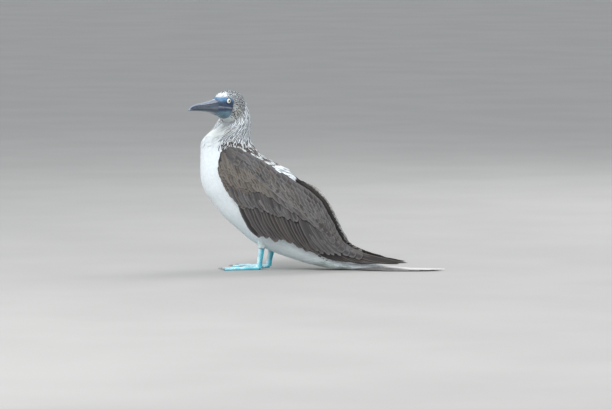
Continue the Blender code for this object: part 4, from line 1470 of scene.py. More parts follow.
@dataclass
class Wing:
    """A folded wing: its skin and its feathers in tiers.

    Each row of the core is its upper edge (x, z, distance from the middle plane), how far its
    outer face bulges, and its lower edge (x, z, distance), in millimetres.
    """

    side: Side
    rows: tuple[tuple[float, ...], ...] = (
        (-187, 224, 43, 47, -192, 206, 44),
        (-175, 233, 38, 55, -187, 188, 51),
        (-158, 231.5, 34, 62, -178, 165, 57),
        (-131, 220.5, 31, 67, -163.5, 142, 62),
        (-100, 203, 30, 70, -142, 120, 65),
        (-74, 188, 29, 71, -122, 100, 66),
        (-45, 169, 28, 70, -102, 82, 63),
        (-18, 152, 27, 68, -78, 70, 60),
        (3, 132, 26, 62, -50, 58, 55),
        (18, 106, 24, 54, -24, 42, 48),
        (28, 84, 22, 47, 2, 31, 42),
        (38, 64, 20, 40, 20, 23, 38),
        (50, 47, 17.5, 34, 39, 18.5, 32.5),
        (74, 34, 15, 28, 67, 15.5, 27),
        (100, 26, 12, 21.5, 95, 14, 20.5),
        (120, 19.5, 10, 16, 117, 13.5, 15.5),
    )
    core_depth: float = 4 * MM
    thickness: float = 8 * MM
    edge: float = 1.4 * MM
    clear: float = 3 * MM
    trough: float = 26 * MM
    cell: float = 2 * MM
    grid_low: tuple[float, float] = (-210 * MM, -4 * MM)
    grid_size: tuple[int, int] = (195, 126)
    peak: float = 0.62
    margin: int = 6
    inset: int = 5
    skin_rings: int = 60
    skin_sides: int = 14
    seed: int = 40
    map_cells: tuple[int, int] = (24, 20)

    def __post_init__(self) -> None:
        """Maps the core's outer face, and the cells that the core fills, once."""
        self.heights = self.map_heights()
        self.filled = self.map_filled()

    def grid(self, rows: int, columns: int) -> tuple[Array, Array]:
        """Evenly spaced places along and down the core."""
        along = np.linspace(0, len(self.rows) - 1, rows)
        return tuple(np.meshgrid(along, np.linspace(0, 1, columns), indexing="ij"))

    def section(self, t: Array, v: Array) -> tuple[Array, Array, Array, Array]:
        """The core at a place along and down it: x, z, its outer and its inner distance out."""
        row = spline_rows(np.asarray(self.rows, float), t) * MM
        x = row[..., 0] + (row[..., 4] - row[..., 0]) * v
        z = row[..., 1] + (row[..., 5] - row[..., 1]) * v
        over = np.clip(1 - v / self.peak, 0, 1)
        beneath = np.clip((v - self.peak) / (1 - self.peak), 0, 1)
        out = row[..., 3] - (row[..., 3] - row[..., 2]) * over**2.2
        out = out - (row[..., 3] - row[..., 6]) * beneath**2
        bulge = np.sin(math.pi * v)
        out = out - self.core_depth * bulge
        thick = np.minimum(self.edge + self.thickness * np.abs(bulge) ** 0.8, out - self.clear)
        return x, z, out, out - thick

    def map_heights(self) -> Array:
        """The core's outer face as distances out on a flat grid, carried past its edges."""
        t, v = self.grid(150, 34)
        x, z, out, _ = self.section(t, v)
        points = np.stack([x, out, z], -1).reshape(-1, 3)
        tree = BVHTree.FromPolygons([Vector(p) for p in points], grid_faces(*t.shape).tolist())
        found = np.full(self.grid_size, np.nan)
        for i in range(self.grid_size[0]):
            for k in range(self.grid_size[1]):
                x, z = self.grid_low[0] + i * self.cell, self.grid_low[1] + k * self.cell
                hit = tree.ray_cast(Vector((x, 1, z)), Vector((0, -1, 0)))[0]
                if hit:
                    found[i, k] = hit.y
        while (empty := np.isnan(found)).any():
            padded = np.pad(found, 1, constant_values=np.nan)
            near = np.stack([padded[:-2, 1:-1], padded[2:, 1:-1], padded[1:-1, :-2], padded[1:-1, 2:]])
            known = ~np.isnan(near)
            total = np.where(known, near, 0).sum(0)
            mean = total / np.maximum(known.sum(0), 1) - 0.25 * MM
            found = np.where(empty & known.any(0), mean, found)
        return found

    def cells(self, x: Array, z: Array, margin: int = 0) -> tuple[Array, Array]:
        """The cells of the side view's grid that hold places, kept a margin inside it."""
        i = ((x - self.grid_low[0]) / self.cell).astype(int)
        k = ((z - self.grid_low[1]) / self.cell).astype(int)
        last_i, last_k = self.grid_size[0] - 1 - margin, self.grid_size[1] - 1 - margin
        return np.clip(i, margin, last_i), np.clip(k, margin, last_k)

    def map_filled(self) -> Array:
        """Which cells of the side view the core fills."""
        x, z, _, _ = self.section(*self.grid(900, 200))
        filled = np.zeros(self.grid_size, bool)
        filled[self.cells(x, z)] = True
        return filled

    def height(self, x: Array, z: Array) -> Array:
        """How far out the core's face lies at places of the side view."""
        i = np.clip((x - self.grid_low[0]) / self.cell, 0, self.grid_size[0] - 1.001)
        k = np.clip((z - self.grid_low[1]) / self.cell, 0, self.grid_size[1] - 1.001)
        a, b = i.astype(int), k.astype(int)
        u, w = i - a, k - b
        h = self.heights
        low = h[a, b] * (1 - u) + h[a + 1, b] * u
        high = h[a, b + 1] * (1 - u) + h[a + 1, b + 1] * u
        return low * (1 - w) + high * w

    def place(self, x: Array, z: Array, out: Array) -> Array:
        """Points of the wing from the side view and their distance out."""
        return np.stack([x, MIDDLE_Y - self.side.value * out, z], -1)

    def tiers(self) -> tuple[Tier | Fringe, ...]:
        """The wing's rows of feathers from the lowest to the uppermost."""
        black = screen(46, 42, 42)
        brown = screen(54, 52, 53)
        fawn = screen(92, 91, 90)
        grey = screen(80, 79, 80)
        warm = screen(96, 91, 85)
        rows = [
            Tier(
                "primaries", ((30, 38), (60, 22), (104, 15.5)), ((39, 56), (86, 28), (168, 14.5)),
                7, 10, 1.6, 0.3, stack=3.3, point=0.7, tone=black,
            ),
            Tier(
                "secondaries", ((-154, 160), (-132, 110), (-109, 67)), ((-32, 112), (-12, 68), (10, 28)),
                17, 20, 2.9, 1.2, bow=7, point=0.4, tone=brown, spread=0.3,
            ),
            Tier(
                "tertials", ((-42, 134), (-21, 82), (2, 36)), ((-5, 122), (17, 76), (53, 34)),
                9, 14, 5.6, 0.9, point=0.5, tone=grey, spread=0.26,
            ),
            Tier(
                "greater_coverts",
                ((-175, 190), (-161, 158), (-146, 127)), ((-62, 152), (-49, 123), (-36, 94)),
                19, 13, 5.4, 0.9, bow=3, point=0.5, tone=grey, spread=0.2,
            ),
            Tier(
                "inner_scapulars",
                ((-104, 186), (-86, 158), (-66, 126)), ((-16, 134), (-2, 104), (16, 72)),
                13, 12, 6.4, 0.8, bow=2, point=0.5, tone=grey, spread=0.18,
            ),
            Tier(
                "median_coverts",
                ((-179, 208), (-169, 185), (-158, 160)), ((-84, 178), (-72, 157), (-60, 134)),
                17, 11.5, 5.9, 0.8, bow=2, point=0.5, tone=warm, spread=0.2,
            ),
        ]
        upper = ((-184, 226), (-178, 212), (-170, 196)), ((-98, 200), (-88, 184), (-78, 166))
        lower = ((-182, 214), (-175, 198), (-166, 180)), ((-88, 184), (-78, 168), (-68, 150))
        low = ((-146, 216), (-132, 199), (-114, 178)), ((-24, 142), (-8, 112), (10, 80))
        high = ((-154, 228), (-146, 219), (-135, 208)), ((-4, 132), (5, 114), (15, 94))
        for k in range(4):
            name = f"lesser_coverts_{k + 1}"
            rows.append(self._between(name, lower, upper, k / 3, 19, 9, 6.3 + 0.25 * k, warm))
        for k in range(4):
            name, width = f"scapulars_{k + 1}", 11 - 1.2 * k
            rows.append(self._between(name, low, high, k / 3, 17, width, 7.0 + 0.2 * k, fawn))
        for k in range(4):
            name, down = f"marginals_{k + 1}", 0.97 - 0.09 * k
            rows.append(Fringe(name, 0.5, 3.6, down, -0.02, 18, 12, 9, 3.6 + 0.6 * k, tone=warm))
        for k in range(4):
            name, down = f"back_edge_{k + 1}", 0.24 - 0.07 * k
            rows.append(Fringe(name, 0.9, 12.5, down, 0.05, 24, 27, 12, 7.4 - 0.8 * k, tone=grey))
        if self.side is Side.RIGHT:
            pale = screen(214, 214, 210)
            rows.append(Fringe("white_edge", 6.4, 12.6, 0.01, 0.004, 22, 22, 10.5, 4.6, tone=pale))
        return tuple(rows)

    def _fringe_paths(self, row: Fringe) -> Array:
        """The root, middle and tip of each feather of a fringe, in millimetres."""
        fine = np.linspace(0, len(self.rows) - 1, 300)
        line = np.stack(self.section(fine, row.down + 0 * fine)[:2], -1)
        travel = np.concatenate([[0], np.cumsum(np.linalg.norm(np.diff(line, axis=0), axis=1))])
        first, last = np.interp([row.start, row.end], fine, travel)
        roots = np.linspace(first, last, row.count)
        spots = []
        for share in (0.0, 0.5, 1.0):
            place = np.interp(roots + share * row.reach * MM, travel, fine)
            down = np.full(row.count, np.clip(row.down + row.slope * share, 0, 1))
            spots.append(np.stack(self.section(place, down)[:2], -1))
        return np.stack(spots, 1) / MM

    def _tier_paths(self, tier: Tier, chance: np.random.Generator) -> Array:
        """The root, middle and tip of each feather of a tier, in millimetres."""
        share = np.linspace(0, 1, tier.count)
        first, last = np.array(tier.first), np.array(tier.last)
        paths = first[None] * (1 - share)[:, None, None] + last[None] * share[:, None, None]
        paths[..., 1] += tier.bow * np.sin(math.pi * share)[:, None]
        stretch = 1 + chance.uniform(-0.07, 0.07, tier.count)
        paths[:, 2] = paths[:, 0] + (paths[:, 2] - paths[:, 0]) * stretch[:, None]
        return paths

    def _between(
        self,
        name: str,
        low: Paths,
        high: Paths,
        share: float,
        count: int,
        width: float,
        lift: float,
        tone: Colour,
    ) -> Tier:
        """A tier part of the way from one row of paths to another."""
        mixed = np.array(low) * (1 - share) + np.array(high) * share
        first, last = (tuple(map(tuple, path)) for path in mixed)
        return Tier(name, first, last, count, width, lift, 0.5, point=0.45, tone=tone, spread=0.2)

    def build_skin(self, finish: bpy.types.Material) -> None:
        """Makes the wing's skin under its feathers, which stands for the part's wing."""
        x, z, out, inner = self.section(*self.grid(self.skin_rings, self.skin_sides))
        outer_points = self.place(x, z, out)
        inner_points = self.place(x, z, inner)[:, ::-1]
        points, faces = tube(np.concatenate([outer_points, inner_points], 1))
        sides = self.skin_sides
        ring = np.concatenate([np.linspace(0, 0.49, sides), np.linspace(0.5, 0.98, sides)])
        around = np.tile(ring, (self.skin_rings, 1))
        along = np.repeat(np.linspace(0, 1, self.skin_rings)[:, None], 2 * sides, 1)
        bake = capped_map(np.stack([around, along], -1).reshape(-1, 2))
        tone = even((*screen(62, 58, 57), 0), len(points))
        mesher = Mesher()
        mesher.add(points, faces, bake, np.zeros((len(points), 3)), tone)
        word = self.side.word
        mesher.build(f"wing_skin_{word}", finish, "wing_plumage", (f"wing_{word}",))

    def build_feathers(self, finish: bpy.types.Material) -> None:
        """Makes every feather of the wing as one piece."""
        chance = np.random.default_rng(self.seed + self.side.value)
        vanes = Vanes(self.height, self.place)
        mesher = Mesher()
        used = 0
        for tier in self.tiers():
            if isinstance(tier, Fringe):
                paths = self._fringe_paths(tier)
            else:
                paths = self._tier_paths(tier, chance)
            paths[:, 1:] += chance.normal(0, 0.5, (tier.count, 2, 2))
            higher = tier.stack * np.linspace(0, 1, tier.count)
            lift = (tier.lift + higher + chance.uniform(-0.25, 0.25, tier.count)) * MM
            tone = np.array(tier.tone) * self._shades(tier, chance)
            mark = chance.uniform(0.05, 0.9, tier.count)
            width = tier.width * chance.uniform(0.9, 1.1, tier.count) * MM
            base = np.minimum(2.4 * MM, lift)
            look = (tier.ride * MM, tone, mark, chance)
            cells = (*self.map_cells, used)
            vanes.grow(mesher, paths * MM, width, base, lift, *look, point=tier.point, cells=cells)
            log.debug("%s: %d feathers", tier.name, tier.count)
            used += tier.count
        mesher.build(f"wing_feathers_{self.side.word}", finish, "wing_plumage")

    def _shades(self, tier: Tier | Fringe, chance: np.random.Generator) -> Array:
        """How light and how warm each feather of a tier is against the tier's tone."""
        level = 1 + chance.normal(0, tier.spread, (tier.count, 1))
        warmth = chance.normal(0.01, 0.03, tier.count)
        hue = np.stack([1 + warmth, np.ones(tier.count), 1 - 1.2 * warmth], -1)
        return np.clip(level, 0.55, 1.6) * hue

    def build(self, skin: bpy.types.Material, feathers: bpy.types.Material) -> None:
        """Makes the wing."""
        self.build_skin(skin)
        self.build_feathers(feathers)

    def covers(self, points: Array) -> Array:
        """Which points lie deep under the wing, where no feather of the body shows."""
        x, y, z = points.T
        out = -self.side.value * (y - MIDDLE_Y)
        i, k = self.cells(x, z, self.margin)
        deep = (out > self.trough) & (out < self.height(x, z) - 3 * MM)
        for di, dk in ((-1, 0), (1, 0), (0, 1), (0, -1)):
            deep &= self.filled[i + di * self.inset, k + dk * self.inset]
        return deep


@dataclass
class Tail:
    """The tail's long feathers, fanned along the floor in two halves.

    Each pair is where its tips end (x, distance aside), its width and its height at the root,
    in millimetres.
    """

    pairs: tuple[tuple[float, float, float, float], ...] = (
        (238, 4, 17, 7.6),
        (229, 11.5, 16, 6.4),
        (213, 18, 15, 5.2),
        (193, 23, 14, 4.0),
        (172, 26, 13, 2.8),
        (151, 27.5, 12, 1.6),
    )
    root: tuple[float, float] = (60 * MM, 4 * MM)
    floor_gap: float = 0.2 * MM
    seed: int = 60
    ash: Colour = screen(222, 218, 218)

    def place(self, x: Array, y: Array, height: Array) -> Array:
        """Points of the tail from their places on the floor and their heights."""
        return np.stack([x, y, np.maximum(height, self.floor_gap)], -1)

    def build(self, finish: bpy.types.Material) -> None:
        """Makes the tail, which stands for the part's own."""
        mesher = Mesher()
        chance = np.random.default_rng(self.seed)
        vanes = Vanes(lambda x, _: np.zeros_like(x), self.place, stations=16, across=9)
        used = 0
        table = np.array(self.pairs) * MM
        aside = table[:, 1]
        for side in Side:
            root_y = MIDDLE_Y - side.value * (self.root[1] + 0.2 * aside)
            root = np.stack([np.full(len(aside), self.root[0]), root_y], -1)
            tip = np.stack([table[:, 0], MIDDLE_Y - side.value * aside], -1)
            middle = (root + tip) / 2
            middle[:, 1] -= side.value * 2.5 * MM
            low = table[:, 3] + 0.7 * MM
            high = table[:, 3] * 0.3 + 0.9 * MM
            tone = np.array(self.ash) * chance.uniform(0.82, 1.08, (len(aside), 1))
            tone *= np.linspace(1.0, 0.7, len(aside))[:, None]
            vanes.grow(
                mesher,
                np.stack([root, middle, tip], 1),
                table[:, 2] * 1.1,
                low,
                high,
                side.value * 0.35 * MM,
                tone,
                np.full(len(aside), 0.25),
                chance,
                sink=3 * MM,
                point=0.7,
                cells=(12, 1, used),
            )
            used += len(aside)
        mesher.build("tail_feathers", finish, "tail_plumage", ("tail",))


class Half(Enum):
    """One half of the bill, by its node's name."""

    UPPER = "bill_upper"
    LOWER = "bill_lower"


@dataclass
class Bill:
    """The long bill in its two halves, ridged and grooved, its tip a little hooked.

    Its rows are the distance ahead of the neck's axis, the height of the ridge, of the mouth
    line and of the underside, and half the width, in millimetres.
    """

    rows: tuple[tuple[float, ...], ...] = (
        (47.5, 328, 308, 293.5, 14),
        (60, 325.5, 309, 297.5, 12.6),
        (78, 322.5, 310.3, 301.5, 10.6),
        (98, 320.3, 311, 304, 8.6),
        (116, 318.5, 311.3, 305.7, 6.4),
        (130, 315.5, 310.8, 306.6, 4.4),
        (138, 311.8, 308.8, 306.9, 2.6),
        (141.5, 308.6, 307.2, 306.2, 1.0),
    )
    gap: float = 0.3 * MM
    roundness: float = 0.66
    rings: int = 130
    sides: int = 44
    horn_start: float = 62.5 * MM
    horn: Colour = screen(54, 68, 86)
    # A paler blue grey: the tip's colour, and the painted highlight along the ridge.
    pale: Colour = screen(146, 158, 174)
    sea: Colour = screen(84, 100, 108)

    def shell(self, ahead: Array, angle: Array, swell: Array) -> Array:
        """Points of the closed bill at distances ahead, by their angle from its ridge."""
        fine = np.linspace(0, len(self.rows) - 1, 200)
        table = np.asarray(self.rows, float)
        row = spline_rows(table, np.interp(ahead, spline_rows(table, fine)[:, 0] * MM, fine)) * MM
        up = np.cos(angle)
        rise = np.where(up > 0, row[..., 1], row[..., 3]) - row[..., 2]
        height = row[..., 2] + (rise + np.sign(rise) * swell) * np.abs(up) ** self.roundness
        return head_point(ahead, -(row[..., 4] + swell) * np.sin(angle), height)

    def half(self, half: Half, finish: bpy.types.Material, face: Face) -> None:
        """Makes one half of the bill.

        Args:
            half: Which half it is.
            finish: Its material.
            face: The face, whose skin its base carries on.
        """
        upper = half is Half.UPPER
        table = np.asarray(self.rows, float)
        places = np.linspace(0, len(table) - 1, self.rings)
        t, k = np.meshgrid(places, np.linspace(0, 1, self.sides), indexing="ij")
        length = t / (len(table) - 1)
        row = spline_rows(table, t) * MM
        ahead = row[..., 0] + self.gap * (1 - length)
        edge = row[..., 2] + (self.gap / 2 if upper else -self.gap / 2)
        rise = (row[..., 1] if upper else row[..., 3]) - edge
        angle = math.pi * k
        out = np.cos(angle)
        up = np.sin(angle) ** self.roundness
        ends = smooth(length, 0.06, 0.2) * smooth(length, 0.93, 0.8)
        groove = bump_at(up, 0.5 if upper else 0.42, 0.09) * ends
        ridge = bump_at(up, 0.8, 0.1) * smooth(length, 0.0, 0.15) * (0.35 if upper else 0.15)
        plates = 0.12 * np.sin(length * 90 + 3 * np.abs(out)) * smooth(length, 0.75, 0.2)
        inset = 0.55 * MM * groove - 0.4 * MM * ridge - 0.1 * MM * plates
        width = row[..., 4] - inset
        teeth = 0.16 * MM * np.abs(np.sin(length * 210))
        saw = teeth * bump_at(up, 0.0, 0.12) * smooth(length, 0.2, 0.4)
        shrunk = rise * (1 - inset / np.maximum(np.abs(rise), 1 * MM) * 0.4)
        height = edge + shrunk * up + (saw if upper else -saw)
        points = head_point(ahead, width * out, height)
        form, faces = tube(points)
        colours = capped(self.tones(length, up, ahead, half, face, points))
        bake = np.stack([0.02 + 0.94 * k, 0.02 + 0.94 * length], -1).reshape(-1, 2)
        draw = np.full_like(out, 0.3 if upper else 0.6)
        lie = np.stack([out, length * 3, draw], -1).reshape(-1, 3)
        mesher = Mesher()
        mesher.add(form, faces, capped_map(bake), capped(lie), colours)
        mesher.build("horn_" + half.value, finish, "bill", (half.value,))

    def tones(
        self, length: Array, up: Array, ahead: Array, half: Half, face: Face, points: Array
    ) -> Array:
        """The horn's colours: skin at its base, a painted highlight along the ridge, painted shade in the
        groove, and a paler edge and tip.

        Args:
            length: How far each point is along the bill, 0 to 1.
            up: How far it is from the mouth line to the ridge or the underside.
            ahead: Its distance ahead of the neck's axis.
            half: The half that it is on.
            face: Gives the colour of the bare skin.
            points: Where it is.

        Returns:
            Rows of red, green, blue and marking.
        """
        upper = half is Half.UPPER
        tone = np.tile(np.array(self.horn), (*length.shape, 1))
        tone = blend(tone, self.sea, (0.15 if upper else 0.55) * smooth(length, 0.8, 0.2))
        # Painted highlight along the upper half's ridge; fainter paleness along the lower half's keel.
        tone = blend(tone, self.pale, (0.75 if upper else 0.35) * smooth(up, 0.86, 1.0))
        tone = blend(tone, self.pale, 0.8 * smooth(length, 0.78, 1.0))
        # Painted shade: the groove along each half is darkened.
        groove = bump_at(up, 0.5 if upper else 0.4, 0.14) * smooth(length, 0.95, 0.7)
        tone = blend(tone, screen(58, 62, 78), 0.6 * groove)
        tone = blend(tone, screen(140, 144, 158), 0.5 * bump_at(up, 0.0, 0.16))
        base = smooth(ahead, self.horn_start + 6 * MM, self.horn_start - 4 * MM)
        skin = face.tones(points.reshape(-1, 3)).reshape(tone.shape)
        tone = blend(tone, skin, 0.7 * base)
        return np.column_stack([tone.reshape(-1, 3), np.zeros(tone[..., 0].size)])

    def build(self, face: Face) -> None:
        """Makes both halves."""
        finish = HornFinish("bill_horn").make()
        for half in Half:
            self.half(half, finish, face)


@dataclass
class Eye:
    """One eyeball with its small black pupil and pale yellow iris."""

    side: Side
    pupil: float = 2.1 * MM
    iris: float = 4.7 * MM
    rings: int = 40
    sides: int = 48

    def build(self, face: Face, finish: bpy.types.Material) -> None:
        """Makes the eyeball, which stands for the part's own."""
        middle, look, radius = face.eye(self.side)
        aside = np.cross(look, [0, 0, 1.0])
        aside /= np.linalg.norm(aside)
        up = np.cross(aside, look)
        polar = np.linspace(0.002, math.pi - 0.002, self.rings) ** 1.25
        polar *= (math.pi - 0.002) / polar[-1]
        turn = full_turn(self.sides)
        p, a = np.meshgrid(polar, turn, indexing="ij")
        ring = radius * np.sin(p)
        bulge = radius * np.cos(p) + 0.35 * MM * np.exp(-((ring / (3.6 * MM)) ** 2)) * (p < 1.4)
        way = np.cos(a)[..., None] * aside + np.sin(a)[..., None] * up
        points = middle + ring[..., None] * way + bulge[..., None] * look
        away = np.where(p < math.pi / 2, ring, radius * 1.5)
        tone = np.tile(np.array(screen(248, 250, 242)), (*away.shape, 1))
        halo = bump_at(away, self.pupil + 0.3 * MM, 0.5 * MM) * 0.5
        tone = blend(tone, screen(196, 190, 120), halo)
        outside = smooth(away, self.iris - 0.5 * MM, self.iris + 0.1 * MM)
        tone = blend(tone, screen(40, 44, 54), outside)
        inside = smooth(away, self.pupil + 0.12 * MM, self.pupil - 0.12 * MM)
        tone = blend(tone, (0.004, 0.004, 0.005), inside)
        colours = np.column_stack([tone.reshape(-1, 3), np.zeros(away.size)])
        form, faces = tube(points)
        lie = np.stack([np.cos(a), np.sin(a), away / radius], -1).reshape(-1, 3)
        bake = np.stack([a / (2 * math.pi), p / math.pi], -1).reshape(-1, 2)
        mesher = Mesher()
        mesher.add(form, faces, capped_map(bake), capped(lie), capped(colours))
        name = "eye_" + self.side.word
        mesher.build(name + "_ball", finish, "eye", (name,))


@dataclass
class Foot:
    """One bare leg and webbed foot: shank, toes with cross scales, webs and claws.

    Each toe is the angle that it points at in degrees, its length and its radius in millimetres.
    """

    side: Side
    knee: tuple[float, float]
    ankle: tuple[float, float]
    spacing: float = 27 * MM
    toes: tuple[tuple[float, float, float], ...] = (
        (24, 68, 4.0),
        (4, 70, 4.3),
        (-20, 50, 3.9),
        (-72, 23, 3.2),
    )
    claw_length: float = 9 * MM
    claw_rings: int = 18
    claw_sides: int = 16
    web: float = 1.3 * MM
    blue: Colour = screen(112, 218, 234)
    # Pale blue: painted highlight on the shank's front and the toes' tops.
    pale: Colour = screen(214, 243, 246)
    # Deep blue: painted shade on the rear, on the undersides and next to the floor.
    deep: Colour = screen(58, 178, 198)

    def middle(self) -> Array:
        """The point on the floor under the ankle."""
        return np.array([self.ankle[0], MIDDLE_Y - self.side.value * self.spacing, 0.0])

    def frame(self, toe: int) -> tuple[Array, Array, Array]:
        """Where a toe starts, which way it runs and which way is across it."""
        angle = math.radians(self.toes[toe][0])
        along = np.array([-math.cos(angle), -self.side.value * math.sin(angle), 0.0])
        return self.middle(), along, np.array([-along[1], along[0], 0.0])

    def shank(self, mesher: Mesher) -> None:
        """Adds the shank, its front covered by a row of broad scales."""
        low = np.array([self.ankle[0], self.middle()[1], 3.0 * MM])
        top = np.array([self.knee[0], self.middle()[1], self.knee[1] + 3 * MM])
        u = np.linspace(0, 1, 90)[:, None]
        turn = full_turn(32)[None]
        along = np.interp(u, [0, 0.15, 0.32, 0.8, 1], [6.1, 5.4, 4.9, 5.4, 6.3]) * MM
        across = np.interp(u, [0, 0.15, 0.32, 0.8, 1], [5.2, 4.3, 3.5, 3.6, 4.3]) * MM
        scale = 0.22 * MM * (u * 14 % 1) ** 0.7 * smooth(-np.cos(turn), 0.1, 0.6)
        tendon = 0.35 * MM * bump_at(np.cos(turn), 1.0, 0.12)
        ring_x = (along + scale + tendon) * np.cos(turn)
        ring_y = (across + scale) * np.sin(turn)
        centre = low + (top - low) * u
        heights = np.broadcast_to(centre[:, 2:3], ring_x.shape)
        points = np.stack([centre[:, :1] + ring_x, centre[:, 1:2] + ring_y, heights], -1)
        # Painted light: the shank's front is paler than its rear.
        front = np.tile(smooth(-np.cos(turn[0]), -0.5, 0.7), len(u))
        self._add(mesher, points, 0.0, 0.2, front)

    def toe(self, mesher: Mesher, number: int) -> None:
        """Adds one toe with a row of cross scales on its top and pads below."""
        _, length, radius = self.toes[number]
        start, along, across = self.frame(number)
        u = np.linspace(0, 1, 110)[:, None]
        turn = full_turn(20)[None]
        knuckle = 1 + 0.1 * np.cos(6 * math.pi * u)
        size = radius * MM * (1 - 0.42 * u) * knuckle * np.minimum(1, 0.6 + 4 * (1 - u))
        upper = smooth(np.sin(turn), 0.0, 0.5)
        scale = 0.28 * MM * ((u * length / 2.3) % 1) ** 0.8 * upper
        grown = size + scale
        spot = start + along * (length * MM * u)[..., None]
        out = grown * np.cos(turn)
        height = np.maximum(size * 0.6 + grown * np.sin(turn), 0.05 * MM)
        points = spot + across * out[..., None]
        points[..., 2] = height
        # Painted highlight: the toes' tops are paler.
        upward = np.tile(smooth(np.sin(turn[0]), 0.2, 1.0), len(u))
        self._add(mesher, points, 0.2 + 0.15 * number, 0.14, upward)

    def webbing(self, mesher: Mesher, first: int) -> None:
        """Adds the skin between two toes, finely pleated, its free edge curved inward."""
        start, along_a, _ = self.frame(first)
        _, along_b, _ = self.frame(first + 1)
        reach_a, reach_b = (self.toes[n][1] * MM * 0.97 for n in (first, first + 1))
        u, v = np.meshgrid(np.linspace(0.08, 1, 36), np.linspace(0, 1, 34), indexing="ij")
        way = along_a * (1 - v)[..., None] + along_b * v[..., None]
        way /= np.linalg.norm(way, axis=-1, keepdims=True)
        reach = (reach_a + (reach_b - reach_a) * v) * (1 - 0.13 * np.sin(math.pi * v))
        points = start + way * (reach * u)[..., None]
        pleat = 0.28 * np.sin(v * 26 + 3 * u) * np.sin(math.pi * v) + 0.22 * np.sin(u * 30 + 4 * v)
        sag = -0.35 * np.sin(math.pi * v) * u
        top = points.copy()
        top[..., 2] = (2.0 + pleat * 0.7 + sag) * MM + 0.9 * MM * (1 - u)
        under = points.copy()
        under[..., 2] = top[..., 2] - self.web
        rings = np.concatenate([top, under[:, ::-1]], 1)
        self._add(mesher, rings, 0.8, 0.18, np.full(rings[..., 0].size, 0.15))

    def _add(self, mesher: Mesher, rings: Array, left: float, span: float, light: Array) -> None:
        """Adds a tube with the foot's tones, painted paler where it faces the light and deeper where it
        faces away.

        Args:
            mesher: Takes it.
            rings: Its rings of points.
            left: Where its strip of the flat map starts.
            span: How wide the strip is.
            light: How pale each point is: the painted light on the shank's front and the toes' tops.
        """
        points, faces = tube(rings)
        light = np.concatenate([light, light[:2]])
        patch = speckle(points, 120, 6)
        # Painted shade where light is low and painted highlight where it is high, both broken by patches.
        depth = np.clip(0.75 - light + 0.5 * patch, 0, 1)
        tone = blend(even(self.blue, len(points)), self.deep, depth)
        tone = blend(tone, self.pale, np.clip(light + 0.35 * patch, 0, 1))
        # Painted shadow: darker towards the floor, within about 2 mm of it.
        tone = blend(tone, self.deep, 0.6 * smooth(points[:, 2], 2.2 * MM, 0.4 * MM))
        low, size = points.min(0), np.ptp(points, axis=0)
        flat = (points - low) / np.maximum(size, 1e-6)
        other, longest = np.argsort(size)[1:]
        bake = np.stack([left + span * 0.9 * flat[:, other], 0.02 + 0.96 * flat[:, longest]], -1)
        colours = np.column_stack([tone, np.zeros(len(points))])
        mesher.add(points, faces, bake, np.zeros((len(points), 3)), colours)

    def claws(self, mesher: Mesher) -> None:
        """Adds the claw of each toe, curved down to just above the floor."""
        for number, (_, length, radius) in enumerate(self.toes):
            start, along, across = self.frame(number)
            thick = radius * 0.52 * MM
            u = np.linspace(0, 1, self.claw_rings)[:, None]
            turn = full_turn(self.claw_sides)[None]
            size = thick * (1 - 0.9 * u**1.3)
            spot = start + along * (length * MM + self.claw_length * u - 0.8 * MM)[..., None]
            centre = thick * 1.15 + 1.0 * MM * np.sin(math.pi * u) - 0.5 * MM * u
            points = spot + across * (size * 0.8 * np.cos(turn))[..., None]
            points[..., 2] = np.maximum(centre + size * np.sin(turn), 0.02 * MM)
            form, faces = tube(points)
            tone = even((*screen(142, 144, 148), 0), len(form))
            lie = np.zeros((len(form), 3))
            lie[:-2, 0] = np.tile(np.cos(turn[0]), self.claw_rings)
            lie[:-2, 1] = np.repeat(u[:, 0], self.claw_sides)
            bake = np.stack([0.25 * number + 0.2 * (lie[:, 0] * 0.5 + 0.5), 0.02 + 0.9 * lie[:, 1]], -1)
            mesher.add(form, faces, bake, lie, tone)

    def build(self, skin: bpy.types.Material, horn: bpy.types.Material) -> None:
        """Makes the leg and the foot, and the claws as a piece of their own."""
        word = self.side.word
        mesher = Mesher()
        self.shank(mesher)
        for number in range(len(self.toes)):
            self.toe(mesher, number)
        for number in range(len(self.toes) - 1):
            self.webbing(mesher, number)
        mesher.build(f"webbed_foot_{word}", skin, "foot_skin", (f"shank_{word}", f"foot_{word}"))
        nails = Mesher()
        self.claws(nails)
        nodes = tuple(f"claw_{word}_{n + 1}" for n in range(len(self.toes)))
        nails.build(f"claws_{word}", horn, "claw", nodes)


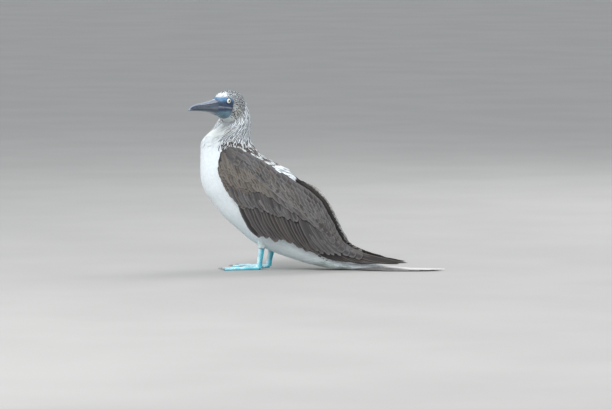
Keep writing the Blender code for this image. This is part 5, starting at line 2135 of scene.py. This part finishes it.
@dataclass
class Studio:
    """The level floor, the soft lights and the camera."""

    azimuth: float = 8.0
    elevation: float = 4.0
    distance: float = 9.69
    lens: float = 300.0
    target_right: float = -0.025
    target_up: float = 0.1254
    floor_tone: Colour = screen(166, 165, 162)
    floor_reach: float = 36.0
    floor_lines: int = 25
    sensor: float = 36.0
    lamps: tuple[tuple[str, tuple[float, float, float], float, float], ...] = (
        ("key", (-1.6, -2.6, 2.8), 1.5, 124.0),
        ("fill", (2.4, -2.0, 1.2), 2.0, 24.0),
        ("back", (1.2, 2.2, 2.2), 1.6, 46.0),
    )

    def build_floor(self) -> None:
        """Makes the level floor, wide enough to fill the picture from every side."""
        line = np.linspace(-self.floor_reach, self.floor_reach, self.floor_lines)
        x, y = np.meshgrid(line, line, indexing="ij")
        points = np.stack([x, y, np.zeros_like(x)], -1).reshape(-1, 3)
        mesh = bpy.data.meshes.new("floor")
        mesh.from_pydata(points.tolist(), [], grid_faces(*x.shape).tolist())
        mesh.shade_smooth()
        made, sheet = dressed("floor_matt", 0.85, 0.2)
        place = sheet.add("ShaderNodeTexCoord").outputs["Object"]
        mottle = sheet.noise(place, 3.0, 3.0)
        shade = sheet.ease(mottle, 0.3, 0.7, 0.97, 1.03)
        finish_with(sheet, sheet.shaded((*self.floor_tone, 1), shade), mottle, 0.05, 1 * MM)
        mesh.materials.append(made)
        floor = bpy.data.objects.new("floor", mesh)
        bpy.context.scene.collection.objects.link(floor)

    def build_lights(self) -> None:
        """Makes the soft lamps and the even light of the room."""
        for name, spot, size, power in self.lamps:
            lamp = bpy.data.lights.new(name, "AREA")
            lamp.size = size
            lamp.energy = power
            lit = bpy.data.objects.new(name, lamp)
            lit.location = spot
            aim = Vector((0, 0, 0.15)) - Vector(spot)
            lit.rotation_euler = aim.to_track_quat("-Z", "Y").to_euler()
            bpy.context.scene.collection.objects.link(lit)
        world = bpy.data.worlds.new("room")
        world.use_nodes = True
        sky = world.node_tree.nodes["Background"]
        sky.inputs[0].default_value = (*screen(232, 236, 242), 1)
        sky.inputs[1].default_value = 0.95
        bpy.context.scene.world = world

    def build_camera(self) -> None:
        """Makes the camera at the photograph's angle and framing."""
        turn, tilt = math.radians(self.azimuth), math.radians(self.elevation)
        right = Vector((math.cos(turn), math.sin(turn), 0))
        level = Vector((math.sin(turn), -math.cos(turn), 0))
        upright = Vector((0, 0, 1))
        up = upright * math.cos(tilt) - level * math.sin(tilt)
        back = level * math.cos(tilt) + upright * math.sin(tilt)
        target = right * self.target_right + up * self.target_up
        lens = bpy.data.cameras.new("camera")
        lens.lens = self.lens
        lens.sensor_width = self.sensor
        lens.clip_end = 100
        camera = bpy.data.objects.new("camera", lens)
        camera.location = target + back * self.distance
        camera.rotation_euler = (-back).to_track_quat("-Z", "Y").to_euler()
        bpy.context.scene.collection.objects.link(camera)
        bpy.context.scene.camera = camera

    def build(self) -> None:
        """Makes the whole studio, its colours shown as they are."""
        bpy.context.scene.view_settings.view_transform = "Standard"
        self.build_floor()
        self.build_lights()
        self.build_camera()


def main() -> None:
    """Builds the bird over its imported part."""
    logging.basicConfig(level=logging.INFO, format="%(name)s: %(message)s")
    for extra in list(bpy.data.objects):
        bpy.data.objects.remove(extra)
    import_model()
    Studio().build()
    trunk, face = Trunk(), Face()
    plumage = Plumage(trunk, face)
    knees = {Side.LEFT: (-110 * MM, 43 * MM), Side.RIGHT: (-99 * MM, 33 * MM)}
    ankles = {Side.LEFT: (-116 * MM, 9 * MM), Side.RIGHT: (-106 * MM, 9 * MM)}
    thighs = [Thigh(side, knees[side]) for side in Side]
    bill = Bill()
    BodySkin(trunk, plumage, face, thighs, bill).build()
    wings = [Wing(side) for side in Side]
    BodyCoat(trunk, plumage, lambda p: wings[0].covers(p) | wings[1].covers(p)).build()
    down = PlumageFinish("plumage_thigh", plumage.dark, (0.9, 0.9, 0.9), 0.2, barbs=9, contrast=0.16)
    ThighCoat(thighs).build(down.make(), plumage.shaded_white)
    under = SkinFinish("wing_skin", screen(50, 44, 42), 0.4, 700, 0.8).make()
    over = PlumageFinish(
        "plumage_brown",
        dark=screen(48, 44, 43),
        rim=screen(122, 117, 113),
        rim_amount=0.42,
        shaft=screen(52, 47, 45),
        shaft_amount=0.5,
        barbs=46,
        contrast=1.0,
        roughness=0.62,
        sheen=0.1,
    ).make()
    for wing in wings:
        wing.build(under, over)
    pale = PlumageFinish(
        "tail_grey",
        dark=screen(110, 102, 100),
        rim=screen(225, 222, 220),
        rim_amount=0.4,
        shaft=screen(240, 238, 232),
        shaft_amount=0.9,
        barbs=60,
        contrast=0.3,
        roughness=0.6,
    )
    Tail().build(pale.make())
    bill.build(face)
    wet = EyeFinish().make()
    for side in Side:
        Eye(side).build(face, wet)
    scales = SkinFinish("foot_blue", screen(40, 130, 160), 0.55, 620, 0.42, 0.6, 0.35 * MM, 0.15).make()
    horn = HornFinish("claw_horn", 0.35).make()
    for side in Side:
        Foot(side, knees[side], ankles[side]).build(scales, horn)


if __name__ == "__main__":
    main()
